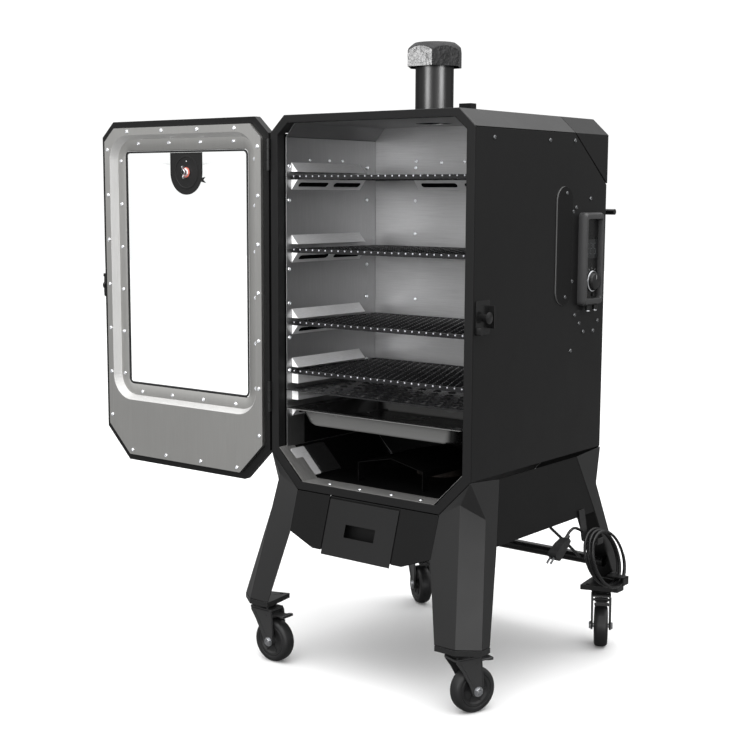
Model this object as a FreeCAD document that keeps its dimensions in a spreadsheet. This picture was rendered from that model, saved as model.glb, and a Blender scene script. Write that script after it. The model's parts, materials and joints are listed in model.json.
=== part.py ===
import FreeCAD, Part
import Sketcher
import math
import os

# Vertical pellet smoker: an eight-sided insulated cabinet on a splayed caster base.
# Millimetres, +Z up, origin on the floor under the middle of the cabinet, +X to the
# right of someone facing the door opening, -Y towards them. The door stands open.

Vector = FreeCAD.Vector
Placement = FreeCAD.Placement
Rotation = FreeCAD.Rotation
X_AXIS, Y_AXIS, Z_AXIS = Vector(1, 0, 0), Vector(0, 1, 0), Vector(0, 0, 1)

doc = FreeCAD.newDocument("PelletSmoker")
sheet = doc.addObject("Spreadsheet::Sheet", "Dims")


class Size:
    """A driving size: its number together with the sheet expression that gives it."""

    def __init__(self, value, expression):
        self.value = float(value)
        self.expression = expression

    @staticmethod
    def of(x):
        return x if isinstance(x, Size) else Size(x, repr(float(x)))

    def __add__(self, other):
        other = Size.of(other)
        return Size(self.value + other.value, "(%s + %s)" % (self.expression, other.expression))

    __radd__ = __add__

    def __sub__(self, other):
        other = Size.of(other)
        return Size(self.value - other.value, "(%s - %s)" % (self.expression, other.expression))

    def __rsub__(self, other):
        return Size.of(other) - self

    def __truediv__(self, other):
        other = Size.of(other)
        return Size(self.value / other.value, "(%s / %s)" % (self.expression, other.expression))

    def __neg__(self):
        return Size(-self.value, "(0 - %s)" % self.expression)

    def __float__(self):
        return self.value

    def is_driven(self):
        return "Dims." in self.expression


aliases = []


def dim(alias, value):
    aliases.append(alias)
    row = len(aliases)
    sheet.set("A%d" % row, alias)
    sheet.set("B%d" % row, repr(float(value)))
    sheet.setAlias("B%d" % row, alias)
    return Size(value, "Dims.%s" % alias)


# ---- driving sizes -------------------------------------------------------------------
HALF_W = dim("cabinet_half_width", 266)
HALF_D = dim("cabinet_half_depth", 264)
CAB_BOT = dim("cabinet_bottom_height", 394)
CAB_TOP = dim("cabinet_top_height", 1205.5)
TOP_CUT_X = dim("top_corner_width", 39)
TOP_CUT_Z = dim("top_corner_height", 36)
BOT_CUT = dim("bottom_corner_cut", 76)
SKIN = dim("skin_thickness", 2.5)
LINER = dim("liner_thickness", 1.5)
OPEN_HW = dim("opening_half_width", 246)
OPEN_BOT = dim("opening_bottom", 412)
OPEN_TOP = dim("opening_top", 1189)
WALL_X = dim("chamber_half_width", 243)
BACK_Y = dim("chamber_back", 77)
SEAM_Y = dim("roof_seam", 120)
STACK_R = dim("stack_outer_radius", 41.5)
STACK_Y = dim("stack_centre_y", -29)
STACK_TOP = dim("stack_top", 1312)
CAP_R = dim("cap_corner_radius", 64)
CAP_BOT = dim("cap_bottom", 1310)
CAP_TOP = dim("cap_top", 1361)
HINGE_X = dim("door_hinge_x", -270.5)
HINGE_Y = dim("door_hinge_y", -267)
DOOR_OPEN = dim("door_open_angle", 179.1)
DOOR_IN = dim("door_panel_plane", -265)
DOOR_RIM = dim("door_rim_plane", -273)
DOOR_OUT = dim("door_outer_plane", -291)
RIM_W = dim("door_rim_width", 15)
GLASS_HW = dim("glass_half_width", 197)
GLASS_BOT = dim("glass_bottom", 580.5)
GLASS_TOP = dim("glass_top", 1136.5)
RACK_HW = dim("rack_half_width", 236)
RACK_FRONT = dim("rack_front", -225)
RACK_BACK = dim("rack_back", 70)
RACK_H = dim("rack_height", 9)
RACK_WIRE = dim("rack_wire", 4)
WHEEL_R = dim("wheel_radius", 48)
WHEEL_W = dim("wheel_width", 31)
TRAIL = dim("caster_trail", 28)
AXLE_R = dim("axle_radius", 5)
RUN = dim("running_clearance", 0.05)
STEM_X = dim("caster_stem_x", 266)
STEM_Y = dim("caster_stem_y", 288)
FOOT_Z = dim("foot_plate_bottom", 132)
HANDLE_R = dim("handle_bar_radius", 6.5)
CROSS_R = dim("crossbar_radius", 13)
KNOB_R = dim("knob_radius", 23.5)
JACK_R = dim("probe_jack_bore_radius", 1.8)
AUGER_R = dim("auger_tube_radius", 30)
SPLAY_X = dim("base_splay_x_degrees", 10.76)
SPLAY_Y = dim("base_splay_y_degrees", 16.6)
SCREW_R = dim("screw_head_radius", 4.5)
SCREW_H = dim("screw_head_height", 2.4)
doc.recompute()

# Centres and levels shared by several pieces
FIRE_Y = 12
AUGER_Z = 375
FAN_X, FAN_Y = -120, 170
IGNITER_X, IGNITER_Z = 35, 358
KNOB_Y, KNOB_Z = 190, 850
BUTTON_Y, BUTTON_Z = 195, 820
GAUGE_X, GAUGE_Z = -5, 1086
CAP_ROD_R = 4
HINGE_PIN_R = 2

# ---- document helpers ----------------------------------------------------------------
nodes = {}
serial = [0]


def uid(stem):
    serial[0] += 1
    return "%s_%d" % (stem, serial[0])


def bind(obj, prop, size):
    """Sets a property, and ties it to the sheet when the size comes from there."""
    size = Size.of(size)
    setattr(obj, prop, size.value)
    if size.is_driven():
        obj.setExpression(prop, size.expression)


def finish(name, obj):
    obj.Label = name
    nodes[name] = obj


def place(obj, x=0, y=0, z=0, turn=None):
    obj.Placement = Placement(Vector(float(x), float(y), float(z)), turn or Rotation())
    for axis, size in (("x", x), ("y", y), ("z", z)):
        if isinstance(size, Size):
            obj.setExpression("Placement.Base.%s" % axis, size.expression)
    return obj


# ---- sketched solids -----------------------------------------------------------------
def constrain(sk, kind, size, *geometry):
    size = Size.of(size)
    index = sk.addConstraint(Sketcher.Constraint(kind, *geometry, size.value))
    if size.is_driven():
        sk.setExpression("Constraints[%d]" % index, size.expression)


def outline_in(sk, points):
    """A closed outline in a sketch, every corner held by its distances from the origin."""
    count = len(points)
    first = sk.GeometryCount
    corners = [Vector(float(u), float(v), 0) for u, v in points]
    for i in range(count):
        sk.addGeometry(Part.LineSegment(corners[i], corners[(i + 1) % count]), False)
    for i in range(count):
        following = first + (i + 1) % count
        sk.addConstraint(Sketcher.Constraint("Coincident", first + i, 2, following, 1))
    for i, (u, v) in enumerate(points):
        constrain(sk, "DistanceX", u, -1, 1, first + i, 1)
        constrain(sk, "DistanceY", v, -1, 1, first + i, 1)


def circle_in(sk, u, v, radius):
    circle = Part.Circle(Vector(float(u), float(v), 0), Z_AXIS, float(radius))
    index = sk.addGeometry(circle, False)
    constrain(sk, "DistanceX", u, -1, 1, index, 3)
    constrain(sk, "DistanceY", v, -1, 1, index, 3)
    constrain(sk, "Radius", radius, index)


def sketch(body, plane, outlines, circles, lift):
    sk = body.newObject("Sketcher::SketchObject", uid("Sketch"))
    role = plane + "_Plane"
    support = [f for f in body.Origin.OriginFeatures if f.Role == role][0]
    sk.AttachmentSupport = (support, [""])
    sk.MapMode = "FlatFace"
    sk.AttachmentOffset = Placement(Vector(0, 0, float(lift)), Rotation())
    for points in outlines:
        outline_in(sk, points)
    for circle in circles:
        circle_in(sk, *circle)
    return sk


def new_body(name):
    return doc.addObject("PartDesign::Body", uid(name))


def pad(body, plane, outlines, length, circles=(), lift=0.0, back=False):
    """Pads an outline. On XZ the plain direction is -Y, on YZ it is +X, on XY it is +Z."""
    sk = sketch(body, plane, outlines, circles, lift)
    step = body.newObject("PartDesign::Pad", uid("Pad"))
    step.Profile = sk
    step.Reversed = back
    bind(step, "Length", length)
    body.Tip = step
    sk.Visibility = False


def pocket(body, plane, outlines, length, circles=(), lift=0.0, back=False):
    """Cuts an outline out. On YZ the plain direction is -X, on XY it is -Z."""
    doc.recompute()
    before = body.Shape.Volume
    sk = sketch(body, plane, outlines, circles, lift)
    step = body.newObject("PartDesign::Pocket", uid("Pocket"))
    step.Profile = sk
    step.Reversed = back
    bind(step, "Length", length)
    body.Tip = step
    doc.recompute()
    if not body.Shape.Volume < before - 0.5:
        raise RuntimeError("a pocket in %s cut nothing" % body.Label)


def octagon(half, bottom, top, low_x, low_z, high_x, high_z):
    """A box outline with its lower and upper corners cut off by the given legs."""
    return [
        (-(half - low_x), bottom), (half - low_x, bottom),
        (half, bottom + low_z), (half, top - high_z),
        (half - high_x, top), (-(half - high_x), top),
        (-half, top - high_z), (-half, bottom + low_z),
    ]


def chamfered(half, bottom, top, leg):
    return octagon(half, bottom, top, leg, leg, leg, leg)


def rect(u0, v0, u1, v1):
    return [(u0, v0), (u1, v0), (u1, v1), (u0, v1)]


# ---- Part primitives -----------------------------------------------------------------
AXIS_TURN = {"x": Rotation(Y_AXIS, 90), "y": Rotation(X_AXIS, -90), "z": Rotation()}


def box(x0, x1, y0, y1, z0, z1):
    block = doc.addObject("Part::Box", uid("Box"))
    bind(block, "Length", Size.of(x1) - x0)
    bind(block, "Width", Size.of(y1) - y0)
    bind(block, "Height", Size.of(z1) - z0)
    return place(block, x0, y0, z0)


def cyl(axis, radius, length, x, y, z):
    """A round bar that starts at the point and runs along +axis."""
    bar = doc.addObject("Part::Cylinder", uid("Cylinder"))
    bind(bar, "Radius", radius)
    bind(bar, "Height", length)
    return place(bar, x, y, z, AXIS_TURN[axis])


def fuse(*objs):
    result = doc.addObject("Part::MultiFuse", uid("Fuse"))
    result.Shapes = list(objs)
    return result


def cut(base, *tools):
    for tool in tools:
        result = doc.addObject("Part::Cut", uid("Cut"))
        result.Base = base
        result.Tool = tool
        base = result
    return base


def group(*objs):
    result = doc.addObject("Part::Compound", uid("Group"))
    result.Links = list(objs)
    return result


def feature(shape, name):
    holder = doc.addObject("Part::Feature", uid(name))
    holder.Shape = shape
    return holder


def prism(profile, length, origin, along, across):
    """A profile of (distance along `across`, height) drawn out along `along`."""
    points = [origin + across * p + Vector(0, 0, q) for p, q in profile]
    return Part.Face(Part.makePolygon(points + [points[0]])).extrude(along * length)


# ---- folded sheet from corner points -------------------------------------------------
def inward_offset(normals, thickness):
    """The move that takes a corner to the inner side of all the faces meeting there."""
    distinct = []
    for normal in normals:
        if not any(normal.dot(other) > 0.998 for other in distinct):
            distinct.append(normal)
    if len(distinct) == 1:
        return distinct[0] * (-thickness)
    if len(distinct) >= 3:
        # where three offset planes meet, unless they are nearly parallel
        a, b, c = distinct[:3]
        det = a.dot(b.cross(c))
        if abs(det) > 0.05:
            move = (b.cross(c) + c.cross(a) + a.cross(b)) * (-thickness / det)
            if move.Length < 3.2 * thickness:
                return move
    mean = Vector(0, 0, 0)
    for normal in distinct:
        mean = mean + normal
    mean.normalize()
    share = min(max(mean.dot(normal), 0.35) for normal in distinct)
    return mean * (-thickness / share)


def thick(verts, tris, thickness):
    """A closed sheet inside a triangulated skin whose triangles face outwards."""
    outer = [Vector(*v) for v in verts]
    normals = [[] for _ in outer]
    for tri in tris:
        a, b, c = (outer[i] for i in tri)
        normal = (b - a).cross(c - a)
        normal.normalize()
        for i in tri:
            normals[i].append(normal)
    inner = [v + inward_offset(around, thickness) for v, around in zip(outer, normals)]
    edges = dict.fromkeys(e for a, b, c in tris for e in ((a, b), (b, c), (c, a)))
    faces = []

    def add_face(p, q, r):
        faces.append(Part.Face(Part.makePolygon([p, q, r, p])))

    for a, b, c in tris:
        add_face(outer[a], outer[b], outer[c])
        add_face(inner[c], inner[b], inner[a])
    for a, b in edges:
        if (b, a) not in edges:  # a free edge: close the gap between the two skins
            add_face(outer[b], outer[a], inner[a])
            add_face(outer[b], inner[a], inner[b])
    shell = Part.Shell(faces)
    shell.sewShape()
    solid = Part.Solid(shell)
    if solid.Volume < 0:
        solid.reverse()
    return solid


def quad(a, b, c, d):
    return [(a, b, c), (a, c, d)]


def ring_quad(first, count, k):
    """Side k of the band between the ring starting at vertex `first` and the next ring."""
    j = (k + 1) % count
    return quad(first + k, first + j, first + count + j, first + count + k)


def flip(tris):
    return [(c, b, a) for a, b, c in tris]


# ==== cabinet skin ====================================================================
CABINET = octagon(HALF_W, CAB_BOT, CAB_TOP, BOT_CUT, BOT_CUT, TOP_CUT_X, TOP_CUT_Z)


def front_frame():
    opening = octagon(OPEN_HW, OPEN_BOT, OPEN_TOP, 65, 66, 29, 25)
    lip = octagon(OPEN_HW + 2, OPEN_BOT - 2, OPEN_TOP + 2, 65.8, 66.8, 29.8, 25.8)
    body = new_body("FrontFrame")
    pad(body, "XZ", [CABINET, opening], SKIN)
    pad(body, "XZ", [lip, opening], 20, back=True)
    return place(body, 0, SKIN - HALF_D, 0)


def side_panel(name, x):
    low, high = CAB_BOT + BOT_CUT, CAB_TOP - TOP_CUT_Z - 1
    body = new_body(name)
    # the rear upper corner slopes down behind the roof seam
    outline = [(-261, low), (261, low), (261, 1061), (SEAM_Y - 1, high), (-261, high)]
    pad(body, "YZ", [outline], SKIN)
    return place(body, x, 0, 0)


def roof_panel():
    body = new_body("Roof")
    eave = CAB_TOP - TOP_CUT_Z + 0.5
    outer_x = HALF_W - TOP_CUT_X
    inner_x = outer_x - 1
    under = CAB_TOP - SKIN
    strip = [
        (-HALF_W, eave), (-outer_x, CAB_TOP), (outer_x, CAB_TOP), (HALF_W, eave),
        (HALF_W - 3.7, eave), (inner_x, under), (-inner_x, under), (-(HALF_W - 3.7), eave),
    ]
    pad(body, "XZ", [strip], SEAM_Y + 261)
    place(body, 0, SEAM_Y, 0)
    stack_hole = (0, STACK_Y - SEAM_Y, STACK_R + 0.7)
    pocket(body, "XY", [], 1400, circles=[stack_hole], back=True)
    return body


def rear_panel():
    body = new_body("Rear")
    outline = [(-190, CAB_BOT), (190, CAB_BOT), (263, 467), (263, 1059), (-263, 1059), (-263, 467)]
    pad(body, "XZ", [outline], SKIN, circles=[(FAN_X, 520, 30)])
    return place(body, 0, HALF_D, 0)


# ==== chamber lining ==================================================================
LINER_FRONT = 239  # the lining starts this far in front of the cabinet middle
# open folded strips, (x, z), outer side first and then the inner side
HOOD = [
    (-244.5, 1161), (-217, 1191.5), (217, 1191.5), (244.5, 1161),
    (242.6, 1161), (216.3, 1190), (-216.3, 1190), (-242.6, 1161),
]
FLOOR = [
    (-244.5, 477.5), (-181, 411), (181, 411), (244.5, 477.5),
    (242.4, 477.5), (180.3, 412.5), (-180.3, 412.5), (-242.4, 477.5),
]


def chamber_liner():
    walls = []
    for name, x in (("LinerLeft", -WALL_X - LINER), ("LinerRight", WALL_X)):
        wall = new_body(name)
        pad(wall, "YZ", [rect(-LINER_FRONT, 478.5, BACK_Y, 1160)], LINER)
        walls.append(place(wall, x, 0, 0))
    hood = new_body("LinerTop")
    pad(hood, "XZ", [HOOD], BACK_Y + LINER_FRONT)
    place(hood, 0, BACK_Y, 0)
    stack_hole = (0, STACK_Y - BACK_Y, STACK_R - 1.5)
    pocket(hood, "XY", [], 1400, circles=[stack_hole], back=True)
    return group(*walls, hood)


def chamber_back_liner():
    body = new_body("LinerBack")
    pad(body, "XZ", [octagon(244.5, 411, 1191.5, 63.5, 66, 27.5, 30.5)], LINER)
    return place(body, 0, BACK_Y + LINER + 0.5, 0)


def lower_liner():
    body = new_body("LowerLiner")
    pad(body, "XZ", [FLOOR], BACK_Y + LINER_FRONT)
    place(body, 0, BACK_Y, 0)
    pocket(body, "XY", [], 600, circles=[(0, FIRE_Y - BACK_Y, 55.5)], back=True)
    # two angle rails hang below; their feet turn in towards each other
    rails = []
    for web_x, foot_x0, foot_x1 in ((-91, -91, -80.5), (85.5, 77.5, 88)):
        rails.append(box(web_x, web_x + 2.5, -236, -125, 296, 411))
        rails.append(box(foot_x0, foot_x1, -236, -125, 296, 298.5))
    return fuse(body, *rails)


# ==== rack supports: pressed guides on three walls ====================================
# (top, bottom) heights of each guide
FLAT_BOTTOM_GUIDES = [(1106, 1086), (949, 929), (786, 766), (677, 657)]
FLAT_TOP_GUIDES = [(1069, 1047), (910, 888), (750, 729), (567, 547)]
BOX_GUIDES = [(642, 621), (608, 584)]
GUIDES = (
    [("flat bottom", *levels) for levels in FLAT_BOTTOM_GUIDES]
    + [("flat top", *levels) for levels in FLAT_TOP_GUIDES]
    + [("box", *levels) for levels in BOX_GUIDES]
)
# the four racks lie on the upper three flat tops and on the upper box guide
RACK_GUIDE_TOPS = [top for top, _ in FLAT_TOP_GUIDES[:3] + BOX_GUIDES[:1]]


def guide(kind, top, bottom, length, origin, along, across):
    """A guide closed at its starting end and open at the other."""
    deep = 18.0
    wall = 1.3
    roof, base = top - wall, bottom + wall
    if kind == "flat bottom":
        outside = [(0, top), (deep, bottom), (0, bottom)]
        hollow = [(wall, top - 4.2), (deep - 3.6, base), (wall, base)]
    elif kind == "flat top":
        outside = [(0, top), (deep, top), (0, bottom)]
        hollow = [(wall, roof), (deep - 3.4, roof), (wall, bottom + 4.6)]
    else:
        outside = [(0, top), (deep, top), (deep, bottom), (0, bottom)]
        hollow = [(wall, roof), (deep - wall, roof), (deep - wall, base), (wall, base)]
    end = 1.2
    body = prism(outside, length, origin, along, across)
    return body.cut(prism(hollow, length - end, origin + along * end, along, across))


def rack_supports():
    bite = 0.1  # the guides stand this far inside the wall planes
    wall_x = float(WALL_X) - bite
    shapes = []
    for side in (-1, 1):
        start = Vector(side * wall_x, -222, 0)
        for levels in GUIDES:
            shapes.append(guide(*levels, 238.0, start, Y_AXIS, Vector(-side, 0, 0)))
    start = Vector(-118, float(BACK_Y) - bite, 0)
    for levels in GUIDES:
        shapes.append(guide(*levels, 236.0, start, X_AXIS, Vector(0, -1, 0)))
    return feature(Part.makeCompound(shapes), "Supports")


# ==== splayed base ====================================================================
SIDE_APRON_TOP = 460
# (x, z) corners of the rear apron; the front one also has the notch for the drawer
APRON = [(-190.3, 392.5), (190.3, 392.5), (189.0, 305), (120, 280), (-120, 280), (-189.0, 305)]
DRAWER_NOTCH = [(94, 280), (94, 389.5), (-97, 389.5), (-97, 280)]
# (y, z) corners of the side aprons
SIDE_APRON = [(-156, 460), (156, 460), (198.6, 338), (200, 331), (-200, 331), (-198.6, 338)]
FRONT_TILT = Rotation(X_AXIS, -float(SPLAY_Y))
REAR_TILT = Rotation(X_AXIS, float(SPLAY_Y))


def down_slope(points, top, splay):
    """Turns heights into distances below `top`, measured along a splayed sheet."""
    stretch = 1 / math.cos(math.radians(float(splay)))
    return [(u, -(float(top) - z) * stretch) for u, z in points]


def down_front(points):
    return down_slope(points, CAB_BOT, SPLAY_Y)


def base_aprons():
    front = new_body("FrontApron")
    pad(front, "XZ", [down_front(APRON[:4] + DRAWER_NOTCH + APRON[4:])], SKIN, back=True)
    place(front, 0, -HALF_D, CAB_BOT, FRONT_TILT)
    rear = new_body("RearApron")
    pad(rear, "XZ", [down_front(APRON)], SKIN)
    place(rear, 0, HALF_D, CAB_BOT, REAR_TILT)
    side_outline = down_slope(SIDE_APRON, SIDE_APRON_TOP, SPLAY_X)
    right = new_body("RightApron")
    pad(right, "YZ", [side_outline], SKIN, back=True)
    place(right, HALF_W, 0, SIDE_APRON_TOP, Rotation(Y_AXIS, -float(SPLAY_X)))
    left = new_body("LeftApron")
    pad(left, "YZ", [side_outline], SKIN)
    place(left, -HALF_W, 0, SIDE_APRON_TOP, Rotation(Y_AXIS, float(SPLAY_X)))
    flange = new_body("DrawerFlange")
    frame = [down_front(rect(-104, 281, 101, 392)), down_front(rect(-90.5, 297.5, 87.5, 386))]
    pad(flange, "XZ", frame, 1.5, back=True, lift=-2.8)
    place(flange, 0, -HALF_D, CAB_BOT, FRONT_TILT)
    return group(front, rear, right, left, flange)


# front right leg: (x, y, z) corners, the triangles between them, and its foot in (x, y)
LEG = [
    (190.7, -264, 393.3), (243, -264, 421), (266.2, -264, 468.8), (279, -226, 390),
    (266.2, -157.3, 460), (189.3, -292, 302), (225.5, -325.5, 144.1), (277.5, -326, 144.1),
    (319.5, -294.5, 144.1), (319.5, -265, 144.1), (293, -206, 321),
]
LEG_TRIS = [
    (0, 5, 1), (5, 7, 1), (5, 6, 7), (1, 7, 3), (7, 8, 3), (3, 8, 9),
    (3, 9, 10), (3, 10, 4), (3, 4, 2), (1, 3, 2), (0, 1, 2),
]
FOOT = [
    (226, -326.1), (277.8, -326.7), (320.2, -295), (320.2, -264.4),
    (290, -256), (238, -237), (228, -300),
]
CORNER_SIGNS = ((1, -1), (-1, -1), (1, 1), (-1, 1))


def legs_and_feet():
    legs = []
    for sign_x, sign_y in CORNER_SIGNS:
        verts = [(sign_x * x, -sign_y * y, z) for x, y, z in LEG]
        # a single mirroring turns the triangles inside out
        tris = flip(LEG_TRIS) if sign_x * sign_y > 0 else LEG_TRIS
        legs.append(thick(verts, tris, 2.5))
    leg_set = feature(Part.makeCompound(legs), "Legs")
    feet = []
    for sign_x, sign_y in CORNER_SIGNS:
        foot = new_body("Foot")
        outline = [(sign_x * x, -sign_y * y) for x, y in FOOT]
        pad(foot, "XY", [outline], 11.2, circles=[(sign_x * 250, sign_y * 252, 4.2)])
        feet.append(place(foot, 0, 0, FOOT_Z))
    return group(leg_set, *feet)


def rear_crossbar():
    y, z = 294, 192
    return cut(cyl("x", CROSS_R, 536, -268, y, z), cyl("x", CROSS_R - 1.5, 540, -270, y, z))


# ==== chimney =========================================================================
def chimney_stack():
    foot_z = 1192
    tube = cut(
        cyl("z", STACK_R, STACK_TOP - foot_z, 0, STACK_Y, foot_z),
        cyl("z", STACK_R - 1.5, 200, 0, STACK_Y, foot_z - 12),
    )
    flange = cut(
        cyl("z", 51, 2.4, 0, STACK_Y, CAB_TOP + 0.2),
        cyl("z", STACK_R - 0.2, 10, 0, STACK_Y, CAB_TOP - 3),
    )
    bridge = box(-40.6, 40.6, STACK_Y - 6, STACK_Y + 6, 1288, 1294)
    cap_rod = cyl("z", CAP_ROD_R, 64, 0, STACK_Y, 1292)
    return fuse(tube, flange, bridge, cap_rod)


def chimney_cap():
    wall = 3
    dome_r = 78.7

    def hexagon(name, radius, height, z):
        block = doc.addObject("Part::Prism", name)
        block.Polygon = 6
        bind(block, "Circumradius", radius)
        bind(block, "Height", height)
        return place(block, 0, STACK_Y, z)

    def sphere(name, radius):
        ball = doc.addObject("Part::Sphere", name)
        bind(ball, "Radius", radius)
        return place(ball, 0, STACK_Y, CAP_TOP - 65.3)

    def common(name, base, tool):
        result = doc.addObject("Part::Common", name)
        result.Base, result.Tool = base, tool
        return result

    block = hexagon("CapPrism", CAP_R, CAP_TOP - CAP_BOT, CAP_BOT)
    hollow = hexagon("CapHollow", CAP_R - wall, 53, CAP_BOT - 5)
    ball = sphere("CapDome", dome_r)
    inner_ball = sphere("CapDomeInside", dome_r - wall)
    outside = common("CapOuter", block, ball)
    inside = common("CapInner", hollow, inner_ball)
    boss = cyl("z", 9, 34, 0, STACK_Y, 1325)
    bore_r = CAP_ROD_R + RUN
    return cut(fuse(cut(outside, inside), boss), cyl("z", bore_r, 40, 0, STACK_Y, 1320))


# ==== hopper, auger and fire ==========================================================
# hopper cross sections from the top down: half width, front y, rear y, z
HOPPER_RINGS = [
    (236, 86, 255, 1054), (236, 86, 255, 860), (27, 142, 198, 470), (27, 142, 198, 406.2),
]


def hopper_bin():
    verts = []
    for half, front, rear, z in HOPPER_RINGS:
        verts += [(x, y, z) for x, y in rect(-half, front, half, rear)]
    tris = []
    for ring in (0, 4, 8):
        for i in range(4):
            j = (i + 1) % 4
            tris += quad(ring + j, ring + i, ring + 4 + i, ring + 4 + j)
    return feature(thick(verts, tris, 1.5), "Hopper")


def auger_tube():
    return cut(
        cyl("y", AUGER_R, 124, 0, 79.5, AUGER_Z),
        cyl("y", AUGER_R - 3, 140, 0, 70, AUGER_Z),
        box(-24, 24, 145, 195, 385, 420),  # opening in the top
    )


def auger():
    """A helical ribbon on a round shaft."""
    turns, steps = 4, 14
    start_y, flight_length = 82, 112.0
    verts, tris = [], []
    for i in range(turns * steps + 1):
        angle = 2 * math.pi * i / steps
        y = start_y + flight_length * i / (turns * steps)
        for radius in (6.6, 25.5):
            verts.append((radius * math.cos(angle), y, AUGER_Z + radius * math.sin(angle)))
    for i in range(turns * steps):
        tris += quad(2 * i, 2 * i + 1, 2 * i + 3, 2 * i + 2)
    flight = thick(verts, tris, 1.8)
    return group(feature(flight, "Flight"), cyl("y", 6.5, 123, 0, 80, AUGER_Z))


def auger_motor():
    return fuse(box(-34, 34, 206, 256, 338, 404), box(-20, 20, 204.2, 206, 355, 395))


def fire_pot():
    pot = cut(
        cyl("z", 55, 92, 0, FIRE_Y, 345),
        cyl("z", 52.5, 92, 0, FIRE_Y, 348),
        cyl("y", 24, 30, 0, 50, AUGER_Z),
        cyl("y", 5.5, 30, IGNITER_X, 30, IGNITER_Z),
    )
    return group(pot, cyl("y", 5, 60, IGNITER_X, 40, IGNITER_Z))


def flame_baffle():
    """A ridged sheet with turned-down sides on four posts."""
    half, front, rear = 88, -180, 40
    ridge_x = 4
    # (x, z) of the left eave, ridge, right eave, left hem and right hem
    folds = [(-half, 455), (ridge_x, 474), (half, 455), (-half, 440), (half, 440)]
    verts = [(x, y, z) for x, z in folds for y in (front, rear)]
    tris = [
        (0, 2, 1), (2, 3, 1), (2, 4, 3), (4, 5, 3),
        (6, 0, 7), (0, 1, 7), (4, 8, 5), (8, 9, 5),
    ]
    sheet_solid = thick(verts, tris, 1.5)
    posts = [
        box(x, x + 2, y, y + 20, 412.7, 440)
        for x in (-half, half - 2) for y in (front, rear - 20)
    ]
    return group(feature(sheet_solid, "Baffle"), *posts)


def fan_housing():
    shell = cut(
        cyl("z", 54, 34, FAN_X, FAN_Y, 482),
        cyl("z", 51, 30, FAN_X, FAN_Y, 484),
        cyl("z", 20, 20, FAN_X, FAN_Y, 500),
    )
    return fuse(shell, box(FAN_X - 6, FAN_X + 6, 116.5, 122, 490, 505))


def fan_impeller():
    disc_z = 486.5
    blade_count, root_r = 8, 9
    rotor = [cyl("z", 10, 24, FAN_X, FAN_Y, disc_z), cyl("z", 46, 2, FAN_X, FAN_Y, disc_z)]
    for k in range(blade_count):
        blade = box(0, 34, -1, 1, 0, 20)
        degrees = 360.0 / blade_count * k
        angle = math.radians(degrees)
        root = Vector(FAN_X + root_r * math.cos(angle), FAN_Y + root_r * math.sin(angle), 488.3)
        blade.Placement = Placement(root, Rotation(Z_AXIS, degrees))
        rotor.append(blade)
    return fuse(*rotor)


# ==== controls and fittings on the right side, and the rear handle ====================
SIDE_FACE = HALF_W + 0.1  # fittings stand just clear of the skin
CONTROLLER = [
    (141, 808), (151, 798), (213, 798), (223, 808), (223, 990), (213, 1000), (151, 1000), (141, 990),
]  # (y, z) outline


def controller_housing():
    body = new_body("Controller")
    pad(body, "YZ", [CONTROLLER], 20)
    place(body, SIDE_FACE, 0, 0)
    pocket(body, "YZ", [rect(150, 812, 214, 986)], 12, lift=20)
    holes = [(KNOB_Y, KNOB_Z, 3 + RUN), (BUTTON_Y, BUTTON_Z, 4)]
    pocket(body, "YZ", [], 4.5, circles=holes, lift=8)
    lens = box(HALF_W + 8.15, HALF_W + 10.2, 155, 208, 900, 942)
    lamp = cyl("x", 3.2, 2, HALF_W + 8.15, 168, 820.5)
    return group(body, lens, lamp)


def control_knob():
    knob = fuse(
        cyl("x", KNOB_R, 8, HALF_W + 9, KNOB_Y, KNOB_Z),
        cyl("x", 17, 3, HALF_W + 17, KNOB_Y, KNOB_Z),
        cyl("x", 3, 5, HALF_W + 4.5, KNOB_Y, KNOB_Z),
    )
    pointer = box(HALF_W + 18, HALF_W + 21, KNOB_Y - 1.2, KNOB_Y + 1.2, 854, 866)
    return cut(knob, pointer)


def power_button():
    return cyl("x", 3.95, 5.2, HALF_W + 5.6, BUTTON_Y, BUTTON_Z)


def probe_jacks():
    x, z = HALF_W + 10, 784
    return group(*[
        cut(cyl("z", 5.5, 13.8, x, y, z), cyl("z", JACK_R, 12, x, y, z)) for y in (172, 203)
    ])


def side_cover_plate():
    half, middle_y, low, high = 32, 78, 835, 1024
    return fuse(
        box(SIDE_FACE, HALF_W + 3, middle_y - half, middle_y + half, low, high),
        cyl("x", half, 2.9, SIDE_FACE, middle_y, low),
        cyl("x", half, 2.9, SIDE_FACE, middle_y, high),
    )


def latch_keeper():
    return fuse(
        box(SIDE_FACE, HALF_W + 2.6, -256, -206, 763, 832),
        cyl("x", 8, 14, SIDE_FACE, -228, 797),
        cyl("x", 12, 2.5, HALF_W + 14, -228, 797),
        box(HALF_W + 2, HALF_W + 15, -210, -206.5, 775, 820),
        box(HALF_W + 2, HALF_W + 14, -256, -247, 764, 780),
    )


def rear_handle():
    z, foot_y, foot_xs = 1000, 264.2, (-235, 235)
    bar = cyl("x", HANDLE_R, 520, -260, 314, z)
    posts = [cyl("y", 5.5, 50, x, foot_y, z) for x in foot_xs]
    discs = [cyl("y", 13, 3, x, foot_y, z) for x in foot_xs]
    return fuse(bar, *posts, *discs)


# ==== hopper lid ======================================================================
LID_PIN_Y, LID_PIN_Z = 269.0, 1061.0
LID_HINGE_XS = (-200, 150)  # left end of each lid hinge
LID_TOP = [(-266, 1169.7), (-227, 1205.5), (227, 1205.5), (266, 1169.7)]  # (x, z)


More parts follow.
